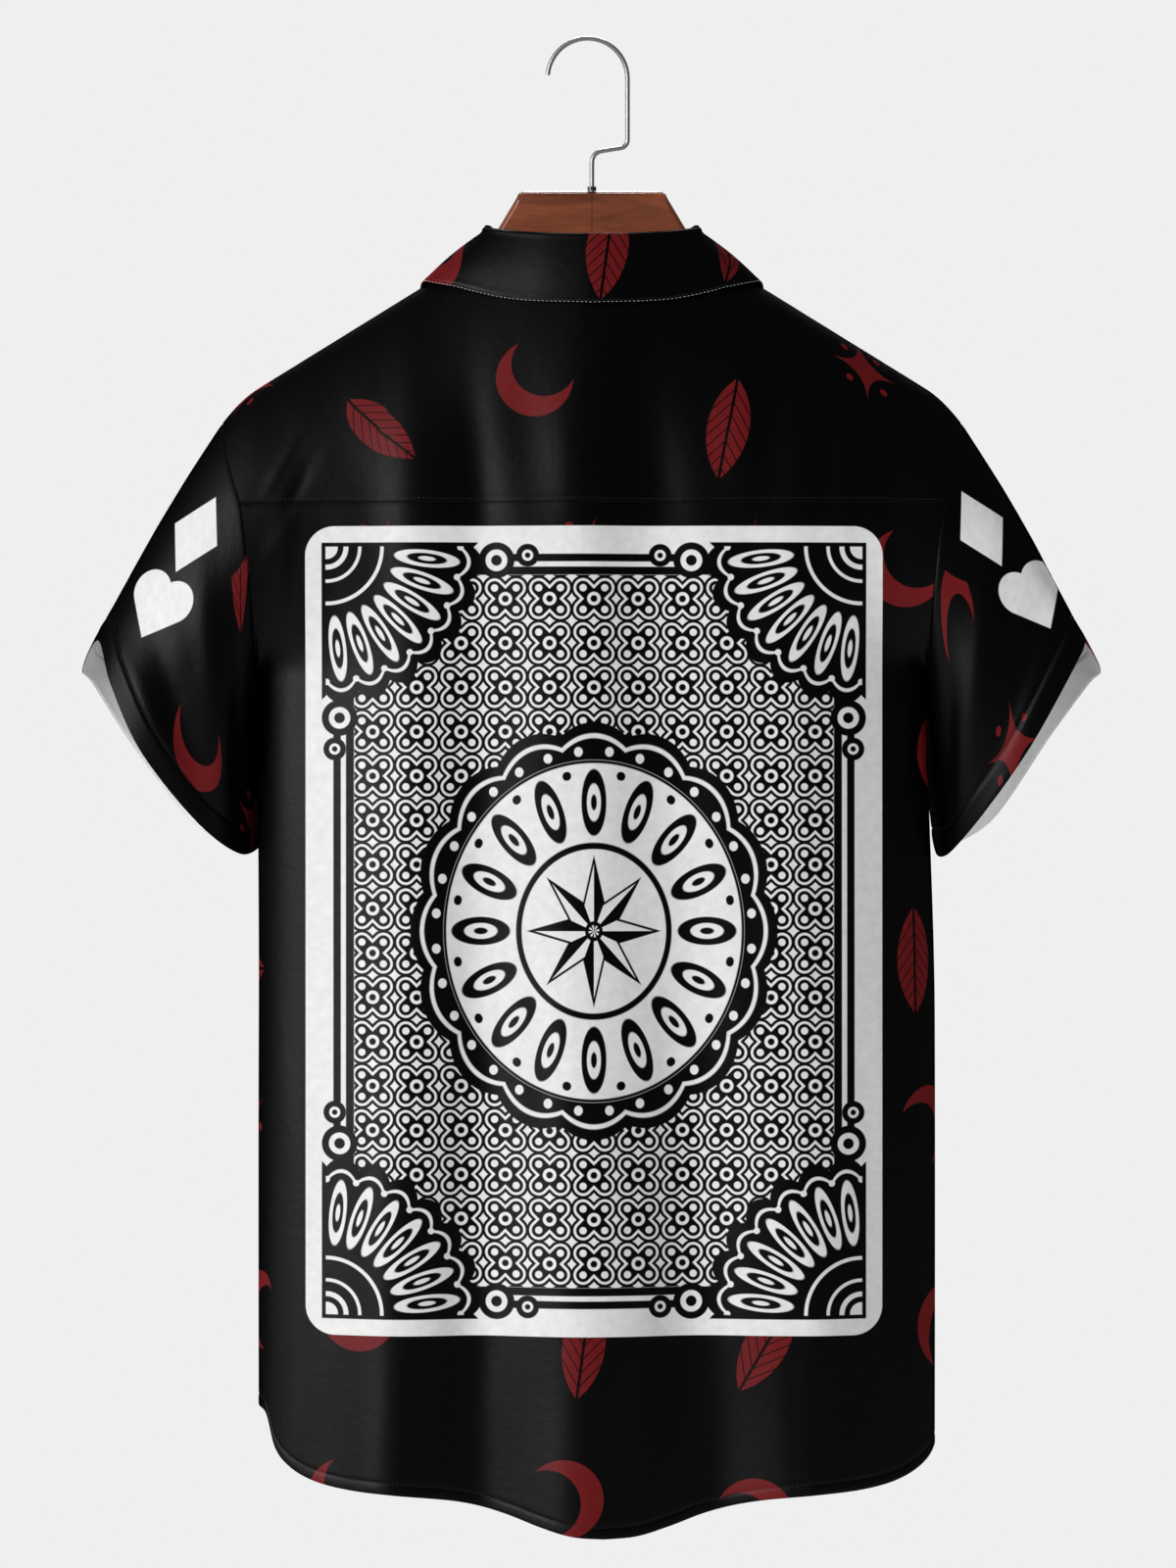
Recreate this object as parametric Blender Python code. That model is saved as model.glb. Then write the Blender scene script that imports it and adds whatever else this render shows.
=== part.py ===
"""A short-sleeved hawaiian shirt, buttoned, on a wooden hanger with a wire hook.

Blender works in metres and +Z is up. The lengths here are millimetres, and MM turns them to metres as each
mesh is filled. The origin is where a rail carries the hook: the inside top of its bend. The shirt's back
faces -Y, its buttons face +Y, and its wearer's left is at -X. side is -1 on the back and +1 on the front.
"""

import math
from collections import namedtuple

import bmesh
import bpy
from mathutils import Vector

MM = 0.001

# The cloth
WALL = 1.5
SEAM_GAP = 0.3
NEAR = 0.5  # step of the differences that give the outward direction

# The shoulder's ridge, which the hanger's arms carry, and the garment's round crest over them
SHOULDER_TOP = -87.0
SHOULDER_SLOPE = 0.618
SHOULDER_HALF = 227.0
TIP_START = 205.0
TIP_CURVE = 0.0159
CREST_SPREAD = 0.45
CREST_LENGTH = 39.5
CREST_ROUND = 10.0

# Heights that the pieces share
YOKE_SEAM = -285.0
ARMPIT = -391.0
HEM_LOW = -917.0
HEM_CENTRE = 5.0
SWAY = 3.0
SWAY_END = -600.0

# The armhole and the roundness of the body's section
ARMHOLE_DEPTH = 45.0
ARMHOLE_ROUND = 90.0
ARMHOLE_REACH = 4  # a higher power keeps its roundness nearer the edge
SIDE_POWER = 2.4

# The neck
NECK_HALF = 78.0
NECK_BACK_Z = -149.7
NECK_SIDE_Z = -135.2
NECK_FRONT_Z = -208.0
NECK_FRONT_POWER = 0.838
NECK_STEP = math.radians(11.25)  # round the neck from the back's middle
NECK_STEPS = (0, 1, 2, 3, 4, 5, 6, 7, 8, 8.5, 9, 10, 11, 12, 13, 14)  # points that yoke, fronts and collar share
CORNER = 11  # the one of them that ends the yoke's front seam

# The button stand
OVERLAP = 16.0
LIFT = 2.1
LIFT_END = 30.0

# How finely each piece is cut
HALF_COLUMNS = 19
BODY_ROWS = 16
BACK_ARMHOLE_ROWS = 6
YOKE_ROWS = (-34, -16, -6, 0, 6, 14, 26)  # rows round the crest, in millimetres past the ridge
FRONT_ARMHOLE_ROWS = 7
SLEEVE_ROWS = 7

Width = namedtuple("Width", "height half_width")
WIDTHS = (
    Width(-917, 208.0),
    Width(-600, 208.0),
    Width(-391, 206.0),
    Width(-337, 208.8),
    Width(-286, 214.8),
    Width(-271, 219.6),
    Width(-250, 225.0),
    Width(-235, 227.0),
)

Depth = namedtuple("Depth", "height half_depth")
DEPTHS = (Depth(-917, 56), Depth(-700, 60), Depth(-391, 61), Depth(-235, 58))

Hem = namedtuple("Hem", "from_centre rise")
HEMS = (
    Hem(0, 0),
    Hem(20, 1.5),
    Hem(40, 7),
    Hem(60, 14),
    Hem(80, 19.5),
    Hem(100, 23),
    Hem(130, 26),
    Hem(160, 29),
    Hem(180, 34),
    Hem(195, 43),
    Hem(203, 54),
    Hem(208, 73),
    Hem(213, 78),
)

# Soft vertical folds: where each runs at the yoke seam and at the hem, how wide it is and how far it stands
Fold = namedtuple("Fold", "top_x hem_x top_width hem_width top_rise hem_rise")
BACK_FOLDS = (
    Fold(-165, -172, 18, 24, -1.5, -4),
    Fold(-106, -124, 22, 32, 3, 8),
    Fold(-70, -66, 18, 26, -3, -7),
    Fold(0, 0, 26, 34, 3, 7),
    Fold(59, 83, 22, 28, -4, -9),
    Fold(138, 150, 24, 32, 3, 7),
    Fold(182, 186, 16, 20, -1.5, -4),
)
FRONT_FOLDS = (
    Fold(-168, -176, 18, 22, -1.5, -4),
    Fold(-118, -136, 24, 32, 3, 8),
    Fold(-62, -72, 20, 28, -3, -7),
    Fold(-20, -26, 18, 26, 1, 3),
    Fold(52, 66, 22, 30, -3, -8),
    Fold(112, 128, 24, 30, 3, 8),
    Fold(170, 174, 18, 24, -2, -4),
)
FOLD_START = -215.0  # above this height the cloth lies smooth over the hanger

# The sleeves' cuffs, from the top round the back to the underarm and up the front
Cuff = namedtuple("Cuff", "out height depth")
LEFT_CUFF = (
    Cuff(303.6, -369.0, -8),
    Cuff(294.6, -396.6, -30),
    Cuff(275.4, -438.0, -40),
    Cuff(241.2, -481.2, -30),
    Cuff(215.4, -500.4, -4),
    Cuff(205.0, -491.5, 26),
    Cuff(239.4, -484.0, 52),
    Cuff(278.4, -432.6, 52),
    Cuff(308.4, -395.4, 30),
    Cuff(314.4, -386.4, 14),
)
RIGHT_CUFF = (
    Cuff(302.4, -369.0, -8),
    Cuff(300.0, -376.8, -30),
    Cuff(270.0, -431.4, -40),
    Cuff(241.2, -473.4, -30),
    Cuff(219.6, -499.8, -4),
    Cuff(208.0, -492.0, 26),
    Cuff(243.0, -474.6, 52),
    Cuff(279.6, -425.4, 52),
    Cuff(307.2, -395.4, 30),
    Cuff(313.8, -386.4, 14),
)
UNDERARM_AT = 4.5  # the underarm seam meets the cuff between its fifth and sixth rows
SLEEVE_CLEAR = 0.35
SLEEVE_BULGE = 3.0

# The collar: a stand up from the neckline, a fold, and a fall down to its edge
Collar = namedtuple("Collar", "angle lean rise turn edge_x edge_over")
COLLAR = (
    Collar(0, 2.0, 27.0, 2.6, 0, -86.7),
    Collar(35, 4.0, 26.5, 2.6, 49, -53.0),
    Collar(60, 8.5, 24.5, 2.6, 79, -27.0),
    Collar(90, 14.7, 19.0, 2.4, 103, 0.0),
    Collar(120, 9.0, 19.0, 2.8, 100, 32.5),
    Collar(150, 3.0, 20.0, 3.2, 76, 91.5),
    Collar(172, 0.0, 20.0, 3.2, 44, 157.7),
)
COLLAR_TURN_STEPS = 4
COLLAR_CLEAR = 1.4
COLLAR_ARCH = 1.5
COLLAR_END = math.radians(172.0)

# The buttons
BUTTON_HEIGHTS = (-222, -310, -400, -490, -580, -670, -760)
BUTTON_RADIUS = 5.75
BUTTON_THICK = 2.5
BUTTON_RIM = 1.5
BUTTON_DISH = 0.6
BUTTON_CLEAR = 0.4

# The hanger: two wooden halves round the hook's stem
Section = namedtuple("Section", "out top bottom half_thick")
ARM_CLEAR = 2.4
NECK_SECTIONS = (
    Section(0.15, -92.4, -170.0, 6.0),
    Section(22.0, -92.4, -171.0, 6.0),
    Section(42.0, -92.4, -174.5, 6.0),
    Section(45.0, -93.6, -175.3, 6.0),
    Section(46.6, -97.0, -175.7, 6.0),
    Section(58.5, -117.0, -177.8, 6.0),
    Section(61.0, -119.6, -178.3, 6.0),
)
ARM_SECTIONS = (
    Section(68.5, -133.8, -181.0, 6.0),
    Section(80.0, -141.0, -186.5, 6.0),
    Section(93.0, None, -192.4, 6.0),
    Section(120.0, None, -205.0, 6.0),
    Section(150.0, None, -219.0, 6.0),
    Section(180.0, None, -232.5, 6.0),
    Section(200.0, None, -242.0, 6.0),
    Section(207.0, None, -244.5, 6.0),
    Section(211.5, -222.8, -242.0, 4.6),
    Section(214.0, -227.5, -237.0, 2.4),
)
ROUND_STEPS = 8

# The hook
WIRE_RADIUS = 1.45
BORE_RADIUS = 1.75
STEM_FOOT = -122.0
WOOD_TOP = -92.4
HOOK_CENTRE = (-2.7, -23.0)
HOOK_RADIUS = 24.6
HOOK_TIP_ANGLE = 175.0
ELBOW = (0.0, -68.6)
WIRE_CORNER = (21.9, -65.2)
ELBOW_RADIUS, WIRE_CORNER_RADIUS = 7.0, 5.0
FERRULE_RADIUS = 2.7
FERRULE_TALL = 2.4


def between(low, high, part):
    return low + (high - low) * part


def clamped(value, low=0.0, high=1.0):
    return max(low, min(high, value))


def eased(part):
    part = clamped(part)
    return part * part * (3 - 2 * part)


def read_table(rows, at):
    """The second column of a two-column table, straight between its rows."""
    if at <= rows[0][0]:
        return rows[0][1]
    for (low, first), (high, second) in zip(rows, rows[1:]):
        if at <= high:
            return between(first, second, (at - low) / (high - low))
    return rows[-1][1]


def smooth_table(rows, at):
    """Every column of a table after its first, on a smooth curve through its rows."""
    place = next((i for i in range(len(rows) - 2) if at <= rows[i + 1][0]), len(rows) - 2)
    near = [rows[clamped(place + step, 0, len(rows) - 1)] for step in (-1, 0, 1, 2)]
    span = near[2][0] - near[1][0]
    part = (at - near[1][0]) / span
    found = []
    for column in range(1, len(near[0])):
        before, start, end, after = (row[column] for row in near)
        slope_in = (end - before) / max(near[2][0] - near[0][0], span) * span
        slope_out = (after - start) / max(near[3][0] - near[1][0], span) * span
        found.append(hermite(start, end, slope_in, slope_out, part))
    return found


def hermite(start, end, slope_in, slope_out, part):
    return (
        start * (1 + 2 * part) * (1 - part) ** 2
        + slope_in * part * (1 - part) ** 2
        + end * part * part * (3 - 2 * part)
        - slope_out * part * part * (1 - part)
    )


# ---- The garment's form ----


def shoulder_line(x):
    """Height of the shoulder's ridge."""
    out = abs(x)
    return SHOULDER_TOP - SHOULDER_SLOPE * out - TIP_CURVE * max(0.0, out - TIP_START) ** 2


def half_width(z):
    return read_table(WIDTHS, z)


def hem_line(x):
    """Height of the shirt-tail hem, front and back."""
    return HEM_LOW + read_table(HEMS, abs(x - HEM_CENTRE))


def sway(z):
    """How far the body hangs to one side, from the armpits down."""
    return SWAY * eased((ARMPIT - z) / (ARMPIT - SWAY_END))


def armhole_depth(z):
    """Half the depth of the armhole, which closes at the armpit."""
    if z <= ARMPIT:
        return 0.0
    left = clamped(1 - (z - ARMPIT) / ARMHOLE_ROUND)
    return ARMHOLE_DEPTH * math.sqrt(1 - left * left)


def fold_rise(x, z, side):
    """How far the folds push the cloth out, or in where it is less than 0."""
    down = clamped((YOKE_SEAM - z) / (YOKE_SEAM - HEM_LOW))
    begun = eased((FOLD_START - z) / (FOLD_START - YOKE_SEAM))
    rise = 0.0
    for fold in BACK_FOLDS if side < 0 else FRONT_FOLDS:
        middle = between(fold.top_x, fold.hem_x, down)
        width = between(fold.top_width, fold.hem_width, down)
        height = between(fold.top_rise, fold.hem_rise, down)
        rise += height * math.exp(-(((x - middle) / width) ** 2))
    return rise * begun


def squared_depth(x, z, side):
    """Square of the cloth's distance from the garment's middle plane."""
    across = min(1.0, abs(x) / half_width(z))
    below = shoulder_line(x) - z
    crest = CREST_SPREAD**2 * (below * below + 2 * CREST_LENGTH * below)
    deepest = read_table(DEPTHS, z)
    body = deepest**2 * (1 - across**SIDE_POWER) + armhole_depth(z) ** 2 * across**ARMHOLE_REACH
    body = max(body, 1e-9)
    plain = crest / math.sqrt(1 + (crest / body) ** 2)
    return plain * (1 + fold_rise(x, z, side) / deepest) ** 2


def cloth(x, z, side, gap=0.0):
    """(a point of the cloth's outer face, its outward direction); gap parts the pieces at the side seams."""
    width = half_width(z)
    x = clamped(x, -width, width)
    depth = math.sqrt(max(0.0, squared_depth(x, z, side)))
    left, right = max(-width, x - NEAR), min(width, x + NEAR)
    over_x = (squared_depth(right, z, side) - squared_depth(left, z, side)) / (right - left)
    over_z = (squared_depth(x, z + NEAR, side) - squared_depth(x, z - NEAR, side)) / (2 * NEAR)
    outward = Vector((-over_x, 2 * side * depth, -over_z)).normalized()
    return Vector((x + sway(z), side * (depth + gap), z)), outward


def below_ridge(over):
    """How far below the ridge the cloth lies, over millimetres round the crest from it."""
    return math.sqrt(over * over + CREST_ROUND**2) - CREST_ROUND


def round_the_ridge(below):
    return math.sqrt((below + CREST_ROUND) ** 2 - CREST_ROUND**2)


def crest_place(across, over):
    """(x, z) at across of the half width, over millimetres past the ridge; the front is over 0."""
    z = SHOULDER_TOP
    for _ in range(20):
        x = across * half_width(z)
        z = shoulder_line(x) - below_ridge(over)
    return x, z


def crest_cloth(across, over):
    x, z = crest_place(across, over)
    return cloth(x, z, 1 if over > 0 else -1)


def neckline(angle):
    """(x, z, side) of the neckline, with angle 0 at the back's middle and pi at the front's."""
    x = NECK_HALF * math.sin(angle)
    forward = -math.cos(angle)
    if forward <= 0:
        return x, between(NECK_SIDE_Z, NECK_BACK_Z, -forward), -1
    return x, between(NECK_SIDE_Z, NECK_FRONT_Z, forward**NECK_FRONT_POWER), 1


def neck_over(angle):
    """How far round the crest the neckline lies."""
    x, z, side = neckline(angle)
    return side * round_the_ridge(max(0.0, shoulder_line(x) - z))


NECK_ANGLES = [NECK_STEP * step for step in NECK_STEPS]
NECK_CORNER = NECK_ANGLES[CORNER]
FRONT_SEAM = neck_over(NECK_CORNER)  # the yoke's front seam lies this far over the ridge


# ---- Making solids ----


def painted(obj, colour, roughness, metallic=0.0):
    material = bpy.data.materials.new(obj.name)
    material.use_nodes = True
    shader = material.node_tree.nodes["Principled BSDF"]
    shader.inputs["Base Color"].default_value = (*colour, 1.0)
    shader.inputs["Roughness"].default_value = roughness
    shader.inputs["Metallic"].default_value = metallic
    obj.data.materials.append(material)
    return obj


def made(name, form, colour, roughness, metallic=0.0):
    """One named object from a bmesh whose points are in millimetres."""
    bmesh.ops.recalc_face_normals(form, faces=form.faces)
    bmesh.ops.scale(form, vec=(MM, MM, MM), verts=form.verts)
    mesh = bpy.data.meshes.new(name)
    form.to_mesh(mesh)
    form.free()
    mesh.shade_smooth()
    mesh.set_sharp_from_angle(angle=math.radians(40))
    obj = bpy.data.objects.new(name, mesh)
    bpy.context.scene.collection.objects.link(obj)
    return painted(obj, colour, roughness, metallic)


def laid_grid(places, spread=None):
    """A grid whose points take their places from columns of rows; spread is a layer filled from the second part."""
    columns, rows = len(places) - 1, len(places[0]) - 1
    form = bmesh.new()
    bmesh.ops.create_grid(form, x_segments=columns, y_segments=rows, size=1.0)
    layer = form.verts.layers.float_vector.new(spread) if spread else None
    for vert in form.verts:
        column = round((vert.co.x + 1) / 2 * columns)
        row = round((vert.co.y + 1) / 2 * rows)
        if layer:
            vert.co, vert[layer] = places[column][row]
        else:
            vert.co = places[column][row]
    return form


def cloth_wall(name, places, colour):
    """A wall of cloth: places holds the outer face's points with their outward directions."""
    form = laid_grid(places, "outward")
    bmesh.ops.remove_doubles(form, verts=form.verts, dist=0.01)
    bmesh.ops.triangulate(form, faces=form.faces)
    grown = bmesh.ops.extrude_face_region(form, geom=form.faces[:], use_keep_orig=True)
    outward = form.verts.layers.float_vector["outward"]
    for vert in grown["geom"]:
        if isinstance(vert, bmesh.types.BMVert):
            vert.co -= vert[outward] * WALL
    return made(name, form, colour, 0.85)


def with_directions(points, closed, away_from):
    """Pairs each point of a grid of columns with its outward direction, worked out from its neighbours."""
    columns, rows = len(points), len(points[0])
    pairs = []
    for i in range(columns):
        if closed:
            before, after = points[(i - 1) % (columns - 1)], points[(i + 1) % (columns - 1)]
        else:
            before, after = points[max(i - 1, 0)], points[min(i + 1, columns - 1)]
        column = []
        for j in range(rows):
            along = points[i][min(j + 1, rows - 1)] - points[i][max(j - 1, 0)]
            outward = (after[j] - before[j]).cross(along).normalized()
            if outward.dot(points[i][j] - away_from(i, j)) < 0:
                outward = -outward
            column.append((points[i][j], outward))
        pairs.append(column)
    return pairs


# ---- The cut pieces ----


def across_back():
    """Columns of the back and of the yoke's lower edge, closer together at the sides."""
    steps = range(-HALF_COLUMNS, HALF_COLUMNS + 1)
    return [math.sin(math.pi / 2 * step / HALF_COLUMNS) for step in steps]


def across_front_seam():
    """Columns of the yoke's front seam, from the neckline's corner to the shoulder's tip."""
    corner = NECK_HALF * math.sin(NECK_CORNER) / SHOULDER_HALF
    steps = HALF_COLUMNS - CORNER
    return [between(corner, 1.0, math.sin(math.pi / 2 * step / steps)) for step in range(steps + 1)]


def back_armhole_heights(top):
    parts = [math.pi / 2 * row / BACK_ARMHOLE_ROWS for row in range(1, BACK_ARMHOLE_ROWS + 1)]
    return [between(ARMPIT, top, 1 - math.cos(part)) for part in parts]


def front_armhole_heights(top):
    parts = [math.pi / 2 * row / FRONT_ARMHOLE_ROWS for row in range(1, FRONT_ARMHOLE_ROWS + 1)]
    return [between(ARMPIT, top, 1 - math.cos(part)) for part in parts]


def body_heights(foot):
    return [between(foot, ARMPIT, row / BODY_ROWS) for row in range(BODY_ROWS + 1)]


def back():
    places = []
    for across in across_back():
        foot = hem_line(across * half_width(HEM_LOW))
        heights = body_heights(foot) + back_armhole_heights(YOKE_SEAM - SEAM_GAP / 2)
        places.append([cloth(across * half_width(z), z, -1, SEAM_GAP / 2) for z in heights])
    return cloth_wall("back", places, CLOTH)


def yoke_column(step):
    """One column of the yoke, step columns from the back's middle; it stops at the neckline or the front seam."""
    side = -1 if step < 0 else 1
    step = abs(step)
    low_across = math.sin(math.pi / 2 * step / HALF_COLUMNS)
    low_z = YOKE_SEAM + SEAM_GAP / 2
    low = -round_the_ridge(shoulder_line(low_across * half_width(low_z)) - low_z)
    top_across, top = across_front_seam()[max(0, step - CORNER)], FRONT_SEAM - SEAM_GAP / 2
    if step < CORNER:
        angle = NECK_ANGLES[step]
        top_across, top = neckline(angle)[0] / SHOULDER_HALF, neck_over(angle)
    rows = [between(low, YOKE_ROWS[0], part) for part in (0, 0.28, 0.55, 0.8)] + [*YOKE_ROWS, top]
    column = []
    for over in rows:
        part = min(1.0, (over - low) / (top - low))
        column.append(crest_cloth(side * between(low_across, top_across, part), min(over, top)))
    return column


def yoke():
    steps = range(-HALF_COLUMNS, HALF_COLUMNS + 1)
    return cloth_wall("yoke", [yoke_column(step) for step in steps], CLOTH)


def front_columns():
    """Columns of a front, from the side seam past the middle to the button stand's edge."""
    outer = across_front_seam()[::-1]
    neck = [NECK_HALF * math.sin(angle) for angle in NECK_ANGLES[CORNER + 1 :]]
    stand = [OVERLAP, OVERLAP / 2, 0, -OVERLAP / 2, -OVERLAP]
    return outer + [x / SHOULDER_HALF for x in neck + stand]


def front_top(across):
    """Height of a front's top edge: its yoke seam, or the neckline nearer the middle."""
    x = abs(across) * SHOULDER_HALF
    corner = NECK_HALF * math.sin(NECK_CORNER)
    if x >= corner - 0.01:
        return crest_place(across, FRONT_SEAM + SEAM_GAP / 2)[1]
    return neckline(math.pi - math.asin(x / NECK_HALF))[1]


def stand_lift(across, lift):
    """How far a front is raised where it lies over the other one."""
    return lift * eased((LIFT_END - across * SHOULDER_HALF) / (LIFT_END - OVERLAP))


def front(name, hand, lift):
    """One front; hand is -1 on the wearer's left."""
    places = []
    for across in front_columns():
        foot = hem_line(hand * across * half_width(HEM_LOW))
        column = []
        for z in body_heights(foot) + front_armhole_heights(front_top(across)):
            point, outward = cloth(hand * across * half_width(z), z, 1, SEAM_GAP / 2)
            column.append((point + Vector((0, stand_lift(across, lift), 0)), outward))
        places.append(column)
    return cloth_wall(name, places, CLOTH)


def armhole_ring(hand):
    """Points and outward directions of the body's armhole, from the armpit up the back and down the front."""
    heights = [ARMPIT, *back_armhole_heights(YOKE_SEAM)]
    ring = [cloth(hand * half_width(z), z, -1) for z in heights]
    over_tip = yoke_column(HALF_COLUMNS)[1:-1]
    ring += [(Vector((hand * point.x, *point.yz)), Vector((hand * out.x, *out.yz))) for point, out in over_tip]
    ring.append(crest_cloth(hand, FRONT_SEAM))
    heights = front_armhole_heights(front_top(1.0))[:-1]
    ring += [cloth(hand * half_width(z), z, 1) for z in heights[::-1]]
    return ring


def ring_parts(ring):
    """Each ring point's share of the way from the armpit to the shoulder's tip, and from there back down."""
    top = max(range(len(ring)), key=lambda i: ring[i][0].z)
    points = [pair[0] for pair in ring] + [ring[0][0]]
    walked = [0.0]
    for first, second in zip(points, points[1:]):
        walked.append(walked[-1] + (second - first).length)
    up = [length / walked[top] for length in walked[: top + 1]]
    down = [(length - walked[top]) / (walked[-1] - walked[top]) for length in walked[top + 1 : -1]]
    return up, down


def cuff_point(cuff, hand, at):
    """A point of the cuff's smooth closed curve, at counted in rows of its table."""
    place = math.floor(at)
    rows = [cuff[(place + step) % len(cuff)] for step in (-1, 0, 1, 2)]
    part = at - place
    before, start, end, after = (Vector((hand * row.out, row.depth, row.height)) for row in rows)
    return hermite(start, end, (end - before) / 2, (after - start) / 2, part)


def sleeve(name, hand, cuff):
    ring = armhole_ring(hand)
    up, down = ring_parts(ring)
    seats = [UNDERARM_AT * (1 - part) for part in up]
    seats += [between(len(cuff), UNDERARM_AT, part) for part in down]
    roots = [point + Vector((hand * SLEEVE_CLEAR, 0, 0)) for point, _ in ring]
    ends = [cuff_point(cuff, hand, seat) for seat in seats]
    parts = [row / SLEEVE_ROWS for row in range(SLEEVE_ROWS + 1)]
    points = [[root.lerp(end, part) for part in parts] for root, end in zip(roots, ends)]
    points.append(points[0])
    middles = [sum((column[j] for column in points[:-1]), Vector()) / len(roots) for j in range(len(parts))]
    top_way = Vector((hand * 0.87, 0, 0.49))

    def middle(_, j):
        return middles[j]

    bulged = []
    for column in with_directions(points, True, middle):
        bulge = [SLEEVE_BULGE * math.sin(math.pi * part) for part in parts]
        bulged.append(
            [point + out * height * max(0.0, out.dot(top_way)) for (point, out), height in zip(column, bulge)]
        )
    places = with_directions(bulged, True, middle)
    for column, (_, body_out) in zip(places, ring + ring[:1]):
        point, out = column[0]
        if hand * out.x > hand * body_out.x:
            column[0] = point, body_out
    return cloth_wall(name, places, CLOTH)


def neck_outward(angle):
    """The level direction straight out from the neckline."""
    x0, z0, side0 = neckline(angle - 0.01)
    x1, z1, side1 = neckline(angle + 0.01)
    along = cloth(x1, z1, side1)[0] - cloth(x0, z0, side0)[0]
    return Vector((along.y, -along.x, 0)).normalized()


def collar_column(angle):
    """The neck side's foot, the fold and the fall's edge, at one angle round the neck."""
    hand = -1 if angle < 0 else 1
    lean, rise, turn, edge_x, edge_over = smooth_table(COLLAR, math.degrees(abs(angle)))
    x, z, side = neckline(abs(angle))
    neck, _ = cloth(x, z, side)
    out = neck_outward(abs(angle))
    upward = Vector((0, 0, 1))
    foot = neck - out * WALL + upward * SEAM_GAP
    centre = neck - out * lean + upward * rise
    column = [foot, foot.lerp(centre - out * turn, 0.5)]
    for step in range(COLLAR_TURN_STEPS + 1):
        swing = math.pi * step / COLLAR_TURN_STEPS
        column.append(centre + turn * (upward * math.sin(swing) - out * math.cos(swing)))
    edge, edge_out = crest_cloth(edge_x / SHOULDER_HALF, edge_over)
    edge = edge + edge_out * (COLLAR_CLEAR + WALL)
    for part in (0.35, 0.7):
        column.append(column[6].lerp(edge, part) + edge_out * COLLAR_ARCH * math.sin(math.pi * part))
    column.append(edge)
    return [Vector((hand * point.x, point.y, point.z)) for point in column]


def collar():
    half = [*NECK_ANGLES, COLLAR_END]
    angles = [-angle for angle in half[:0:-1]] + half
    points = [collar_column(angle) for angle in angles]

    def inside_the_fold(i, _):
        return points[i][2].lerp(points[i][6], 0.5) - Vector((0, 0, 12))

    return cloth_wall("collar", with_directions(points, False, inside_the_fold), CLOTH)


# ---- Buttons, hanger and hook ----


def button(number, height):
    """A round button with a raised rim, flat against the over front."""
    point, outward = cloth(0.0, height, 1, SEAM_GAP / 2)
    seat = point + Vector((0, LIFT, 0)) + outward * (BUTTON_CLEAR + BUTTON_THICK / 2)
    form = bmesh.new()
    bmesh.ops.create_cone(
        form,
        cap_ends=True,
        segments=16,
        radius1=BUTTON_RADIUS,
        radius2=BUTTON_RADIUS,
        depth=BUTTON_THICK,
    )
    form.faces.ensure_lookup_table()
    face = max(form.faces, key=lambda each: each.calc_center_median().z)
    bmesh.ops.inset_region(form, faces=[face], thickness=BUTTON_RIM, depth=-BUTTON_DISH)
    turn = outward.to_track_quat("Z", "Y").to_matrix()
    bmesh.ops.rotate(form, verts=form.verts, matrix=turn)
    bmesh.ops.translate(form, verts=form.verts, vec=seat)
    return made(f"button_{number}", form, (0.02, 0.02, 0.022), 0.3)


def hanger_ring(section, hand):
    """A section of the wood: flat sides, round along its top and bottom edges."""
    top = shoulder_line(section.out) - ARM_CLEAR if section.top is None else section.top
    thick = section.half_thick
    ring = []
    for step in range(ROUND_STEPS + 1):
        swing = math.pi * step / ROUND_STEPS
        ring.append(Vector((hand * section.out, thick * math.cos(swing), top - thick + thick * math.sin(swing))))
    for step in range(ROUND_STEPS + 1):
        swing = math.pi * (1 + step / ROUND_STEPS)
        height = section.bottom + thick + thick * math.sin(swing)
        ring.append(Vector((hand * section.out, thick * math.cos(swing), height)))
    return ring + ring[:1]


def hanger_half(name, hand, bore):
    rings = [hanger_ring(section, hand) for section in NECK_SECTIONS + ARM_SECTIONS]
    form = laid_grid([list(column) for column in zip(*rings)])
    bmesh.ops.remove_doubles(form, verts=form.verts, dist=0.01)
    bmesh.ops.holes_fill(form, edges=form.edges, sides=0)
    half = made(name, form, (0.17, 0.085, 0.045), 0.45)
    cut = half.modifiers.new("stem bore", "BOOLEAN")
    cut.object = bore
    cut.operation = "DIFFERENCE"
    return half


def stem_bore():
    """The cutter for the hole that the hook's stem stands in."""
    form = bmesh.new()
    depth = WOOD_TOP - STEM_FOOT + 3
    bmesh.ops.create_cone(
        form,
        cap_ends=True,
        segments=24,
        radius1=BORE_RADIUS,
        radius2=BORE_RADIUS,
        depth=depth,
    )
    bmesh.ops.translate(form, verts=form.verts, vec=(0, 0, STEM_FOOT - 1 + depth / 2))
    cutter = made("stem_bore", form, (1, 1, 1), 0.5)
    cutter.hide_render = True
    cutter.display_type = "WIRE"
    return cutter


def filleted(before, corner, after, radius, steps=8):
    """Points of the arc that rounds a corner of the wire, in x and z."""
    corner = Vector(corner)
    back_way = (Vector(before) - corner).normalized()
    on_way = (Vector(after) - corner).normalized()
    half = back_way.angle(on_way) / 2
    middle = corner + (back_way + on_way).normalized() * radius / math.sin(half)
    start = (corner + back_way * radius / math.tan(half) - middle).normalized()
    end = (corner + on_way * radius / math.tan(half) - middle).normalized()
    return [middle + start.slerp(end, step / steps) * radius for step in range(steps + 1)]


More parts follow.
